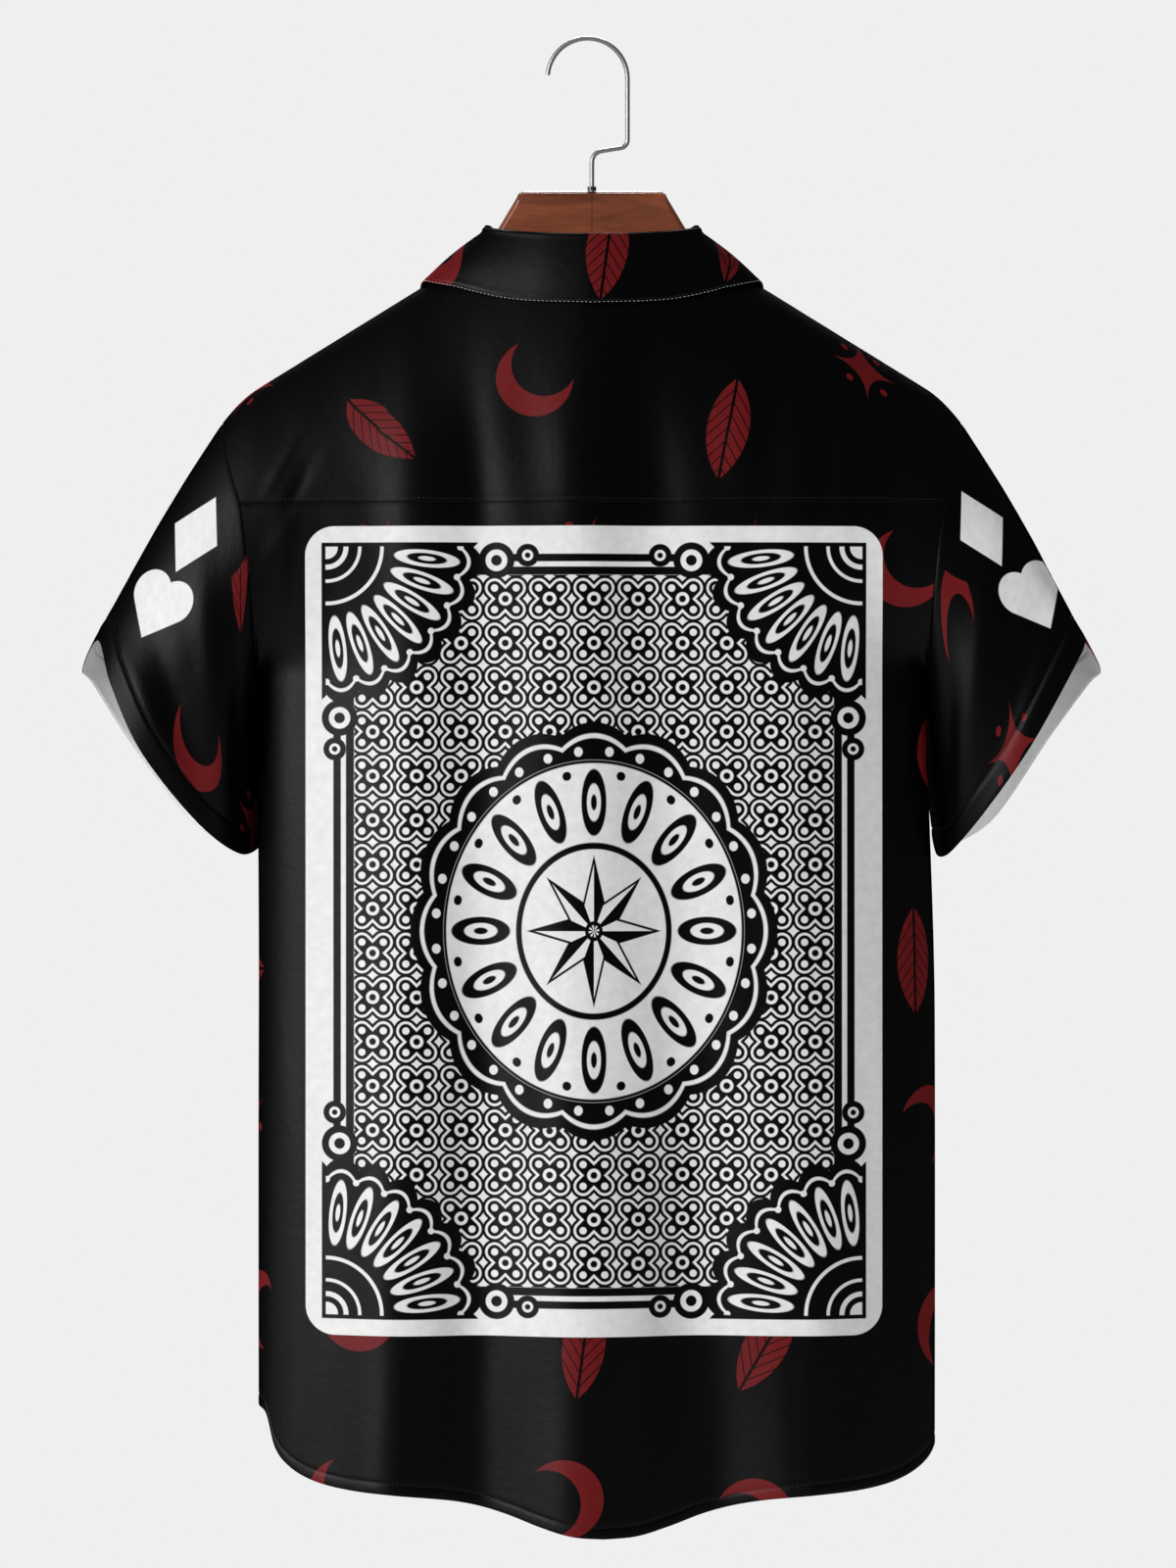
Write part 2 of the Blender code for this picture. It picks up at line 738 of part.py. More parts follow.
def hook():
    """Bent wire: the stem in the wood, an elbow, a corner, and the open bend over the rail."""
    foot = (0.0, STEM_FOOT)
    bend = (HOOK_CENTRE[0] + HOOK_RADIUS, HOOK_CENTRE[1])
    path = [Vector(foot), Vector((0.0, WOOD_TOP))]
    path += filleted(foot, ELBOW, WIRE_CORNER, ELBOW_RADIUS)
    path += filleted(ELBOW, WIRE_CORNER, bend, WIRE_CORNER_RADIUS)
    path.append(Vector(bend).lerp(Vector(WIRE_CORNER), 0.5))
    for step in range(25):
        swing = math.radians(HOOK_TIP_ANGLE * step / 24)
        reach = Vector((math.cos(swing), math.sin(swing))) * HOOK_RADIUS
        path.append(Vector(HOOK_CENTRE) + reach)
    curve = bpy.data.curves.new("hanger_hook", "CURVE")
    curve.dimensions = "3D"
    curve.bevel_depth = WIRE_RADIUS * MM
    curve.bevel_resolution = 2
    curve.use_fill_caps = True
    wire = curve.splines.new("POLY")
    wire.points.add(len(path) - 1)
    for spot, place in zip(wire.points, path):
        spot.co = (place.x * MM, 0.0, place.y * MM, 1.0)
    obj = bpy.data.objects.new("hanger_hook", curve)
    bpy.context.scene.collection.objects.link(obj)
    return painted(obj, (0.6, 0.6, 0.6), 0.2, 1.0)


def ferrule():
    """The ring on the wood's top that the stem passes through."""
    low, high = WOOD_TOP + SEAM_GAP, WOOD_TOP + SEAM_GAP + FERRULE_TALL
    profile = ((BORE_RADIUS, low), (FERRULE_RADIUS, low), (FERRULE_RADIUS, high), (BORE_RADIUS, high))
    form = bmesh.new()
    corners = [form.verts.new((out, 0, z)) for out, z in profile]
    edges = [form.edges.new((corners[i], corners[(i + 1) % 4])) for i in range(4)]
    bmesh.ops.spin(
        form,
        geom=corners + edges,
        axis=(0, 0, 1),
        cent=(0, 0, 0),
        angle=2 * math.pi,
        steps=20,
        use_merge=True,
    )
    return made("hook_collar", form, (0.05, 0.045, 0.04), 0.4, 0.6)


CLOTH = (0.012, 0.012, 0.013)


def main():
    for obj in list(bpy.data.objects):
        bpy.data.objects.remove(obj, do_unlink=True)
    back()
    yoke()
    front("front_left", -1, LIFT)
    front("front_right", 1, 0.0)
    sleeve("sleeve_left", -1, LEFT_CUFF)
    sleeve("sleeve_right", 1, RIGHT_CUFF)
    collar()
    for number, height in enumerate(BUTTON_HEIGHTS, start=1):
        button(number, height)
    bore = stem_bore()
    hanger_half("hanger_half_left", -1, bore)
    hanger_half("hanger_half_right", 1, bore)
    hook()
    ferrule()


main()
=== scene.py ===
import math
from collections import namedtuple

import bmesh
import bpy
import numpy as np
from mathutils import Matrix, Vector


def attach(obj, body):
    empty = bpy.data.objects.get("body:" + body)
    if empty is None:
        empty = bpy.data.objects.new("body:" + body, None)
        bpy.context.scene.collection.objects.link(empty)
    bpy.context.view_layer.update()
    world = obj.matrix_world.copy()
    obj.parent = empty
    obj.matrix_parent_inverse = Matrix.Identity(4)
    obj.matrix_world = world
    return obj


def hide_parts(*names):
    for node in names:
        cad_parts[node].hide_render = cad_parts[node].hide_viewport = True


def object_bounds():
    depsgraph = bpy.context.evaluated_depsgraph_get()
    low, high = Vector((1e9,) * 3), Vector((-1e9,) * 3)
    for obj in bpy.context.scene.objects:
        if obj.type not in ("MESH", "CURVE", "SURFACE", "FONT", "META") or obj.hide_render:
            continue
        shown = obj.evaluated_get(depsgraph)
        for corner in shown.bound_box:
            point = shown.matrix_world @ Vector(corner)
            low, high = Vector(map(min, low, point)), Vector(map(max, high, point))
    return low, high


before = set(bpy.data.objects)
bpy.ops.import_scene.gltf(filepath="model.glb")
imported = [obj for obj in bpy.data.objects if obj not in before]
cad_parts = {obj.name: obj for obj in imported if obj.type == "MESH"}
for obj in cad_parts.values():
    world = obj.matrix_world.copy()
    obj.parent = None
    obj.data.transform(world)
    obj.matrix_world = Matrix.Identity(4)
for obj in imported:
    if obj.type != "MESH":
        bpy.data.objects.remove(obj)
cad_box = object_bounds()

# ---- The studio ----
# A level camera with a long lens looks at the shirt's back. The backdrop is plain and pale, and a pale floor
# lies below the hem. A big soft lamp stands to the left of the camera, and one high in front of the shirt. A
# weaker one to the right gives no gloss, so that the shaded side of each fold stays black.
MM = 0.001
PHOTO_SPAN = 960.0  # what the photograph's height spans at the shirt, in millimetres
PHOTO_MIDDLE = (-2.4, -457.2)  # across and up
CAMERA_AWAY, BACK_PLANE = 6000.0, -30.0
SENSOR, FAR_CLIP = 36.0, 40.0
FLOOR_DROP, FLOOR_RADIUS = 360.0, 2400.0
FLOOR_GREY = (0.62, 0.62, 0.62, 1.0)
BACKDROP = (0.863, 0.863, 0.863, 1.0)
AIR_WHITE, AIR_STRENGTH = (1.0, 1.0, 1.0, 1.0), 0.09

scene = bpy.context.scene
scene.view_settings.view_transform = "Standard"

lens = bpy.data.cameras.new("camera")
lens.sensor_fit = "VERTICAL"
lens.sensor_height = SENSOR
lens.lens = SENSOR * CAMERA_AWAY / PHOTO_SPAN
lens.clip_end = FAR_CLIP
camera = bpy.data.objects.new("camera", lens)
camera.location = (PHOTO_MIDDLE[0] * MM, (BACK_PLANE - CAMERA_AWAY) * MM, PHOTO_MIDDLE[1] * MM)
camera.rotation_euler = (math.pi / 2, 0.0, 0.0)
scene.collection.objects.link(camera)
scene.camera = camera

Lamp = namedtuple("Lamp", "name place size energy gloss")
LAMPS = (
    Lamp("lamp_left", (-4.25, -3.05, 0.8), 1.9, 268, True),
    Lamp("lamp_right", (2.2, -2.0, -0.2), 1.4, 28, False),
    Lamp("lamp_front", (0.0, 2.8, 2.2), 1.4, 150, True),
)
AIM = Vector((0.0, 0.0, -0.45))
for lamp in LAMPS:
    light = bpy.data.lights.new(lamp.name, "AREA")
    light.size = lamp.size
    light.energy = lamp.energy
    stand = bpy.data.objects.new(lamp.name, light)
    stand.location = lamp.place
    stand.rotation_euler = (AIM - Vector(lamp.place)).to_track_quat("-Z", "Y").to_euler()
    stand.visible_glossy = lamp.gloss
    scene.collection.objects.link(stand)


def fed(place, value):
    """Sets a node's socket, or joins it where the value is another socket or, like an ink, has one."""
    value = getattr(value, "socket", value)
    if isinstance(value, bpy.types.NodeSocket):
        place.id_data.links.new(value, place)
    else:
        place.default_value = value


def dressed(node, **sockets):
    """A node with its named sockets set or joined."""
    for name, value in sockets.items():
        fed(node.inputs[name.replace("_", " ")], value)
    return node


def gave(nodes, kind, **sockets):
    return dressed(nodes.new(kind), **sockets)


def new_finish(name):
    """A material with its nodes and its shader."""
    material = bpy.data.materials.new(name)
    material.use_nodes = True
    nodes = material.node_tree.nodes
    return material, nodes, nodes["Principled BSDF"]


def built(name, form, finishes):
    """An object of the scene from a bmesh, which it uses up, with its materials."""
    mesh = bpy.data.meshes.new(name)
    form.to_mesh(mesh)
    form.free()
    for finish in finishes:
        mesh.materials.append(finish)
    piece = bpy.data.objects.new(name, mesh)
    scene.collection.objects.link(piece)
    return piece


world = bpy.data.worlds.new("backdrop")
world.use_nodes = True
scene.world = world
air = world.node_tree.nodes
soft_light = dressed(air["Background"], Color=AIR_WHITE, Strength=AIR_STRENGTH)
seen = gave(air, "ShaderNodeBackground", Color=BACKDROP)
path = air.new("ShaderNodeLightPath")
choice = air.new("ShaderNodeMixShader")
fed(choice.inputs[0], path.outputs["Is Camera Ray"])
fed(choice.inputs[1], soft_light.outputs[0])
fed(choice.inputs[2], seen.outputs[0])
dressed(air["World Output"], Surface=choice.outputs[0])

form = bmesh.new()
bmesh.ops.create_circle(form, cap_ends=True, segments=64, radius=FLOOR_RADIUS * MM)
bmesh.ops.translate(form, verts=form.verts, vec=(0, 0, cad_box[0][2] - FLOOR_DROP * MM))
paint, nodes, shader = new_finish("floor_paint")
dressed(shader, Base_Color=FLOOR_GREY, Roughness=0.8)
floor = built("floor", form, (paint,))


# ---- The hanger ----
# Two halves of brown varnished wood, glued at the middle. They stay as the frame has them, with a grain that
# runs down each arm in darker and paler rings, and fine pores under a thin varnish.
WOOD_DARK = (0.128, 0.031, 0.012, 1.0)
WOOD_PALE = (0.370, 0.098, 0.034, 1.0)


def toned(nodes, noise, dark, pale, stops=(0.0, 1.0)):
    """The colour that a noise gives between a dark and a pale one."""
    ramp = gave(nodes, "ShaderNodeValToRGB", Fac=noise.outputs["Fac"])
    for element, stop, colour in zip(ramp.color_ramp.elements, stops, (dark, pale)):
        element.position, element.color = stop, colour
    return ramp.outputs["Color"]


def blended(nodes, factor, first, second, way="MIX"):
    """The colour that two colours mix to."""
    node = nodes.new("ShaderNodeMix")
    node.data_type, node.blend_type = "RGBA", way
    for place, value in zip((0, 6, 7), (factor, first, second)):
        fed(node.inputs[place], value)
    return node.outputs[2]


def repaint(node, material):
    """Gives a node of the frame its finish."""
    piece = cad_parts[node]
    for place in piece.material_slots:
        place.link = "DATA"
    piece.data.materials.clear()
    piece.data.materials.append(material)


wood, nodes, shader = new_finish("varnished_wood")
place = nodes.new("ShaderNodeTexCoord").outputs["Object"]
drawn = gave(nodes, "ShaderNodeMapping", Vector=place, Scale=(16.0, 60.0, 62.0), Rotation=(0.0, 0.35, 0.0))
rings = gave(nodes, "ShaderNodeTexNoise", Vector=drawn.outputs[0], Scale=1.1, Detail=7.0)
dressed(rings, Roughness=0.62, Distortion=0.6)
pores = gave(nodes, "ShaderNodeMapping", Vector=place, Scale=(60.0, 900.0, 900.0), Rotation=(0.0, 0.5, 0.0))
fine = gave(nodes, "ShaderNodeTexNoise", Vector=pores.outputs[0], Scale=1.0, Detail=3.0)
grain = toned(nodes, rings, WOOD_DARK, WOOD_PALE, stops=(0.28, 0.74))
speck = blended(nodes, 0.35, grain, fine.outputs["Fac"], "MULTIPLY")
pressed = gave(nodes, "ShaderNodeBump", Height=fine.outputs["Fac"], Strength=0.25, Distance=0.0003)
dressed(shader, Base_Color=speck, Normal=pressed.outputs[0], Roughness=0.42)
dressed(shader, Coat_Weight=0.35, Coat_Roughness=0.25)
for half in ("hanger_half_left", "hanger_half_right"):
    repaint(half, wood)


# ---- The hook and its ring ----
# Bright plated wire, bent to an open hook, stands in the wood through a small dark ring. Both stay as the
# frame has them. The plating is duller in small patches, and the ring is worn paler in spots.
wire, nodes, shader = new_finish("plated_wire")
place = nodes.new("ShaderNodeTexCoord").outputs["Object"]
dull = gave(nodes, "ShaderNodeTexNoise", Vector=place, Scale=140.0, Detail=4.0)
gloss = gave(nodes, "ShaderNodeMapRange", Value=dull.outputs["Fac"], To_Min=0.34, To_Max=0.52)
dressed(shader, Base_Color=(0.26, 0.26, 0.27, 1.0), Metallic=0.6, Roughness=gloss.outputs[0])
repaint("hanger_hook", wire)

ring, nodes, shader = new_finish("dark_ring")
place = nodes.new("ShaderNodeTexCoord").outputs["Object"]
worn = gave(nodes, "ShaderNodeTexNoise", Vector=place, Scale=500.0, Detail=3.0)
tint = toned(nodes, worn, (0.02, 0.018, 0.016, 1.0), (0.12, 0.11, 0.10, 1.0))
dressed(shader, Base_Color=tint, Metallic=0.7, Roughness=0.38)
repaint("hook_collar", ring)


# ---- The back ----
# One width of black plain-woven cloth below the yoke, printed on its face and white on its inner side. It
# hangs in soft vertical folds. Its shirt-tail hem is turned in and stitched, and its top goes under the yoke.
SHOULDER_TOP = -87.0
SHOULDER_SLOPE = 0.618
SHOULDER_ROUND = 34.0  # how far from the middle the two slopes run into one another
SHOULDER_HALF = 227.0
TIP_START, TIP_CURVE = 205.0, 0.0159
CREST_SPREAD, CREST_LENGTH, CREST_ROUND = 0.45, 39.5, 10.0
YOKE_SEAM = -285.0
ARMPIT = -391.0
HEM_LOW, HEM_CENTRE = -917.0, 5.0
SWAY, SWAY_END = 3.0, -600.0
ARMHOLE_DEPTH, ARMHOLE_ROUND, ARMHOLE_REACH = 45.0, 90.0, 4
ARMHOLE_SOFT, ARMHOLE_SOFT_REACH = 0.5, 10
SIDE_POWER = 2.4
FOLD_START = -215.0
NEAR = 0.5  # step of the differences that give the outward direction

Width = namedtuple("Width", "height half_width")
WIDTHS = (
    Width(-917, 208.0),
    Width(-600, 208.0),
    Width(-391, 206.0),
    Width(-337, 208.8),
    Width(-286, 214.8),
    Width(-271, 219.6),
    Width(-250, 225.0),
    Width(-235, 227.0),
)
Depth = namedtuple("Depth", "height half_depth")
DEPTHS = (Depth(-917, 56), Depth(-700, 60), Depth(-391, 61), Depth(-235, 58))
Hem = namedtuple("Hem", "from_centre rise")
HEMS = (
    Hem(0, 0),
    Hem(20, 1.5),
    Hem(40, 7),
    Hem(60, 14),
    Hem(80, 19.5),
    Hem(100, 23),
    Hem(130, 26),
    Hem(160, 29),
    Hem(180, 34),
    Hem(195, 43),
    Hem(203, 54),
    Hem(208, 73),
    Hem(213, 78),
)
Fold = namedtuple("Fold", "top_x hem_x top_width hem_width top_rise hem_rise")
BACK_FOLDS = (
    Fold(-165, -172, 18, 24, -1.5, -4),
    Fold(-106, -130, 22, 32, 3, 13.5),
    Fold(-70, -74, 18, 28, -3, -13.5),
    Fold(-10, -6, 26, 34, 3.5, 13),
    Fold(38, 70, 24, 32, -4, -15.5),
    Fold(122, 138, 24, 30, 3, 12),
    Fold(182, 186, 16, 20, -1.5, -4),
)
FRONT_FOLDS = (
    Fold(-168, -176, 18, 22, -1.5, -4),
    Fold(-118, -136, 24, 32, 3, 8),
    Fold(-62, -72, 20, 28, -3, -7),
    Fold(-20, -26, 18, 26, 1, 3),
    Fold(52, 66, 22, 30, -3, -8),
    Fold(112, 128, 24, 30, 3, 8),
    Fold(170, 174, 18, 24, -2, -4),
)
# Finer creases: the middle, half length and half width of each, how far it leans from upright, and its height
Crease = namedtuple("Crease", "x z length width lean rise")
BACK_CREASES = (
    Crease(-10, -240, 62, 22, 0.0, 3.6),
    Crease(36, -238, 62, 19, 0.0, -3.6),
    Crease(92, -236, 60, 15, 0.05, 3.0),
    Crease(126, -244, 56, 12, 0.05, 2.0),
    Crease(-72, -256, 80, 13, -0.03, -2.4),
    Crease(154, -268, 62, 9, 0.04, 1.2),
    Crease(-112, -256, 62, 15, -0.05, 2.2),
    Crease(-190, -262, 24, 3.5, 0.5, 0.9),
    Crease(-183, -284, 26, 4, 0.42, -1.1),
    Crease(-192, -306, 24, 4, 0.5, 0.9),
    Crease(-186, -352, 60, 6, 0.12, -1.0),
    Crease(188, -330, 64, 7, -0.1, -0.9),
    Crease(196, -420, 70, 7, -0.05, 1.1),
    Crease(-192, -430, 90, 8, 0.05, 1.2),
    Crease(-146, -560, 120, 7, 0.02, -0.9),
    Crease(-95, -700, 150, 9, 0.03, 0.9),
    Crease(-36, -640, 130, 9, -0.02, -0.9),
    Crease(30, -760, 120, 10, 0.02, 0.9),
    Crease(112, -640, 150, 9, -0.03, 1.0),
    Crease(122, -830, 90, 8, -0.02, -1.0),
    Crease(178, -720, 130, 8, -0.02, 0.9),
    Crease(-182, -780, 120, 8, 0.02, 1.0),
)
FRONT_CREASES = (
    Crease(-84, -300, 70, 10, -0.12, 1.2),
    Crease(88, -310, 75, 10, 0.12, 1.2),
    Crease(-132, -330, 80, 9, -0.06, -1.0),
    Crease(136, -330, 80, 9, 0.06, -1.0),
    Crease(-188, -300, 28, 4, -0.5, 1.0),
    Crease(190, -310, 28, 4, 0.5, 1.0),
    Crease(-190, -420, 80, 7, -0.05, -1.0),
    Crease(192, -440, 80, 7, 0.05, -1.0),
    Crease(-48, -560, 120, 8, -0.02, 0.9),
    Crease(40, -640, 130, 9, 0.02, 0.9),
    Crease(-104, -700, 140, 9, 0.03, -1.0),
    Crease(98, -760, 120, 9, -0.02, -1.0),
    Crease(-168, -640, 120, 8, 0.02, 1.0),
    Crease(160, -600, 120, 8, -0.02, 1.0),
)


def between(low, high, part):
    return low + (high - low) * part


def eased(part):
    part = np.clip(part, 0.0, 1.0)
    return part * part * (3 - 2 * part)


def hermite(start, end, slope_in, slope_out, part):
    return (
        start * (1 + 2 * part) * (1 - part) ** 2
        + slope_in * part * (1 - part) ** 2
        + end * part * part * (3 - 2 * part)
        - slope_out * part * part * (1 - part)
    )


def smooth_table(rows, at):
    """Every column of a table after its first, on a smooth curve through its rows."""
    place = next((i for i in range(len(rows) - 2) if at <= rows[i + 1][0]), len(rows) - 2)
    near = [rows[min(max(place + step, 0), len(rows) - 1)] for step in (-1, 0, 1, 2)]
    span = near[2][0] - near[1][0]
    part = min(max((at - near[1][0]) / span, 0.0), 1.0)
    found = []
    for column in range(1, len(near[0])):
        before, start, end, after = (row[column] for row in near)
        slope_in = (end - before) / max(near[2][0] - near[0][0], span) * span
        slope_out = (after - start) / max(near[3][0] - near[1][0], span) * span
        found.append(hermite(start, end, slope_in, slope_out, part))
    return found


def drawn_through(rows):
    """The smooth curve through a table's second column, for whole arrays of places at once."""
    stops = np.arange(rows[0][0], rows[-1][0] + 1.0)
    curve = [smooth_table(rows, stop)[0] for stop in stops]
    return lambda at: np.interp(at, stops, curve)


half_width, half_depth, hem_rise = drawn_through(WIDTHS), drawn_through(DEPTHS), drawn_through(HEMS)


def ridge_drop(x):
    """How far the two slopes' meeting at the middle is rounded down."""
    return SHOULDER_SLOPE * np.maximum(0.0, SHOULDER_ROUND - np.abs(x)) ** 2 / (2 * SHOULDER_ROUND)


def shoulder_line(x):
    out = np.abs(x)
    tip = TIP_CURVE * np.maximum(0.0, out - TIP_START) ** 2
    return SHOULDER_TOP - SHOULDER_SLOPE * out - ridge_drop(x) - tip


def hem_line(x):
    return HEM_LOW + hem_rise(np.abs(x - HEM_CENTRE))


def sway(z):
    return SWAY * eased((ARMPIT - z) / (ARMPIT - SWAY_END))


def armhole_depth(z, across):
    """The armhole's extra depth: a quarter round at the side edge, which starts more gently away from it."""
    up = np.clip((z - ARMPIT) / ARMHOLE_ROUND, 0.0, 1.0)
    soft = ARMHOLE_SOFT * (1 - across**ARMHOLE_SOFT_REACH)
    up = (np.hypot(up, soft) - soft) / (np.hypot(1.0, soft) - soft)
    return ARMHOLE_DEPTH * np.sqrt(up * (2 - up))


def fold_rise(x, z, side):
    down = np.clip((YOKE_SEAM - z) / (YOKE_SEAM - HEM_LOW), 0.0, 1.0)
    rise = 0.0
    for fold_side, folds in ((-1, BACK_FOLDS), (1, FRONT_FOLDS)):
        for fold in folds:
            middle = between(fold.top_x, fold.hem_x, down)
            width = between(fold.top_width, fold.hem_width, down)
            height = between(fold.top_rise, fold.hem_rise, down)
            rise = rise + (side == fold_side) * height * np.exp(-(((x - middle) / width) ** 2))
    return rise * eased((FOLD_START - z) / (FOLD_START - YOKE_SEAM))


def squared_depth(x, z, side):
    """Square of the cloth's distance from the garment's middle plane."""
    across = np.minimum(1.0, np.abs(x) / half_width(z))
    below = shoulder_line(x) - z
    crest = CREST_SPREAD**2 * (below * below + 2 * CREST_LENGTH * below)
    deepest = half_depth(z)
    body = deepest**2 * (1 - across**SIDE_POWER) + armhole_depth(z, across) ** 2 * across**ARMHOLE_REACH
    body = np.maximum(body, 1e-9)
    plain = crest / np.sqrt(1 + (crest / body) ** 2)
    return plain * (1 + fold_rise(x, z, side) / deepest) ** 2


def normalised(vectors):
    return vectors / np.maximum(np.linalg.norm(vectors, axis=-1, keepdims=True), 1e-12)


UNEVEN_FINE, UNEVEN_BROAD = 0.30, 0.35  # heights of the cloth's slight waves
CREASES_FADE, CREASES_OUT = 30.0, 10  # below the ridge in millimetres, and a power of the place across


def crease_height(crease, x, z):
    over, up = x - crease.x, z - crease.z
    along = (up * math.cos(crease.lean) + over * math.sin(crease.lean)) / crease.length
    across = (over * math.cos(crease.lean) - up * math.sin(crease.lean)) / crease.width
    return crease.rise * np.exp(-(along**2) - across**2)


def crease_rise(x, z, side):
    """The cloth's finer creases and its slight unevenness, which die out at the ridge and at the armholes.

    The waves' lengths are in millimetres, and none is a multiple of another, so they don't repeat.
    """
    bent = x / 7.3 + 1.9 * np.sin(z / 61.0 + 2.0 * side)
    rise = UNEVEN_FINE * np.sin(bent) * np.sin(z / 47.0 + x / 31.0 + side)
    bent = x / 17.0 + 0.8 * np.sin(z / 83.0) + 1.3 * side
    rise = rise + UNEVEN_BROAD * np.sin(bent) * np.cos(z / 90.0 - x / 45.0)
    for crease_side, creases in ((-1, BACK_CREASES), (1, FRONT_CREASES)):
        for crease in creases:
            rise = rise + (side == crease_side) * crease_height(crease, x, z)
    inside = 1 - np.minimum(1.0, np.abs(x) / half_width(z)) ** CREASES_OUT
    return rise * inside * eased((shoulder_line(x) - z) / CREASES_FADE)


def draped(x, z, side, proud=0.0):
    """(points of the cloth's face, outward directions) for arrays of places; proud lifts the face."""
    x, z, side, proud = np.broadcast_arrays(x, z, side, proud)
    width = half_width(z)
    x = np.clip(x, -width, width)
    depth = np.sqrt(np.maximum(0.0, squared_depth(x, z, side)))
    left, right = np.maximum(-width, x - NEAR), np.minimum(width, x + NEAR)
    over_x = (squared_depth(right, z, side) - squared_depth(left, z, side)) / (right - left)
    over_z = (squared_depth(x, z + NEAR, side) - squared_depth(x, z - NEAR, side)) / (2 * NEAR)
    outward = normalised(np.stack([-over_x, 2 * side * depth, -over_z], axis=-1))
    points = np.stack([x + sway(z), side * depth, z], axis=-1)
    return points + outward * (crease_rise(x, z, side) + proud)[..., None], outward


CLOTH_THICK = 0.45
SAME_SPOT = 0.01  # points closer than this are merged
HEM_UNDER, HEM_TO_BODY = 1.1, 2.5
HEM_UPS = (0.0, 0.8, 2.4, 4.6, 6.2, 7.0, 7.8, 9.6)  # rows above the hem's edge; the sixth is stitched down
HEM_DIPS = (-0.15, 0.05, 0.12, 0.1, -0.05, -0.32, -0.05, 0.02)
STITCH_ROW = 5
SEAM_UPS = (0.8, 2.6)  # rows that go on past a seam, under the other piece
SEAM_DIPS = (-0.1, -0.5, -0.75)  # from the seam's own row on


def armhole_share(rows):
    """Rows from the armpit to a piece's top, closer together at the armpit."""
    return 1 - np.cos(np.pi / 2 * np.arange(1, rows + 1) / rows)


def body_rows(foot, top, body, armhole):
    """(heights, dips) of a body piece's rows: its hem, its body, its armhole and what goes under the yoke."""
    ups = foot[:, None] + np.array(HEM_UPS)
    start = foot + HEM_UPS[-1] + HEM_TO_BODY
    shares = np.arange(body + 1) / body
    middle = start[:, None] + (ARMPIT - start)[:, None] * shares
    upper = ARMPIT + (top - ARMPIT)[:, None] * armhole_share(armhole)
    under = top[:, None] + np.array(SEAM_UPS)
    dips = [*HEM_DIPS, *[0.0] * (middle.shape[1] + upper.shape[1] - 1), *SEAM_DIPS]
    return np.concatenate([ups, middle, upper, under], axis=1), np.array(dips)


def turned_in(points, outward, rows, under):
    """Adds a turned-in edge before a grid's first row: the rows nearest the edge again, under the cloth."""
    inner = points[:, 1:rows][:, ::-1] - outward[:, 1:rows][:, ::-1] * under
    bend = points[:, :1] - outward[:, :1] * under / 2
    return np.concatenate([inner, bend, points], axis=1)


def flat_places(points, middle, row, height, hung_flat=0.0):
    """Each point's place on the flat cloth, in millimetres: across from the middle column, and up from a row.

    Out to hung_flat from the middle the folds don't count, so a print there hangs straight.
    """
    moved = np.diff(points, axis=0)
    inside = np.abs(points[1:, :, 0] + points[:-1, :, 0]) / 2 < hung_flat
    steps = np.where(inside, np.abs(moved[..., 0]), np.linalg.norm(moved, axis=-1))
    across = np.concatenate([np.zeros((1, points.shape[1])), np.cumsum(steps, axis=0)])
    steps = np.linalg.norm(np.diff(points, axis=1), axis=-1)
    along = np.concatenate([np.zeros((points.shape[0], 1)), np.cumsum(steps, axis=1)], axis=1)
    along = along - along[:, row : row + 1] + height
    across = across - across[middle]
    if hung_flat:
        return across + points[middle, :, 0], points[..., 2]
    return across, along


def cut_cloth(name, points, flat, thick, finishes, faces_in=False, pale_rows=0):
    """One piece of cloth as a thin shell, with its flat places in its own UV map."""
    columns, rows = points.shape[0] - 1, points.shape[1] - 1
    form = bmesh.new()
    bmesh.ops.create_grid(form, x_segments=columns, y_segments=rows, size=1.0)
    spots = []
    for vert in form.verts:
        spot = round((vert.co.x + 1) / 2 * columns), round((vert.co.y + 1) / 2 * rows)
        spots.append(spot)
        vert.co = points[spot] * MM
    form.verts.index_update()
    laid = form.loops.layers.uv.new("cloth")
    across, along = flat
    for face in form.faces:
        face.smooth = True
        turned = 0
        for loop in face.loops:
            spot = spots[loop.vert.index]
            turned = max(turned, spot[1])
            loop[laid].uv = (0.5 + across[spot] * MM, 1.0 + along[spot] * MM)
        face.material_index = 1 if turned < pale_rows else 0
    bmesh.ops.remove_doubles(form, verts=form.verts, dist=SAME_SPOT * MM)
    if faces_in:
        bmesh.ops.reverse_faces(form, faces=form.faces)
    piece = built(name, form, finishes)
    wall = piece.modifiers.new("cloth", "SOLIDIFY")
    wall.thickness = thick * MM
    wall.offset = -1.0
    wall.material_offset = 1
    wall.material_offset_rim = 0
    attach(piece, "root")
    return piece


INK_EDGE = 0.45  # how softly the ink ends, in millimetres
BLACK_CLOTH = (0.0008, 0.0008, 0.0008, 1.0)
RED_INK = (0.135, 0.0085, 0.0100, 1.0)
WHITE_INK = (0.765, 0.765, 0.755, 1.0)
THREAD_PITCH, THREAD_HIGH = 0.5, 0.06


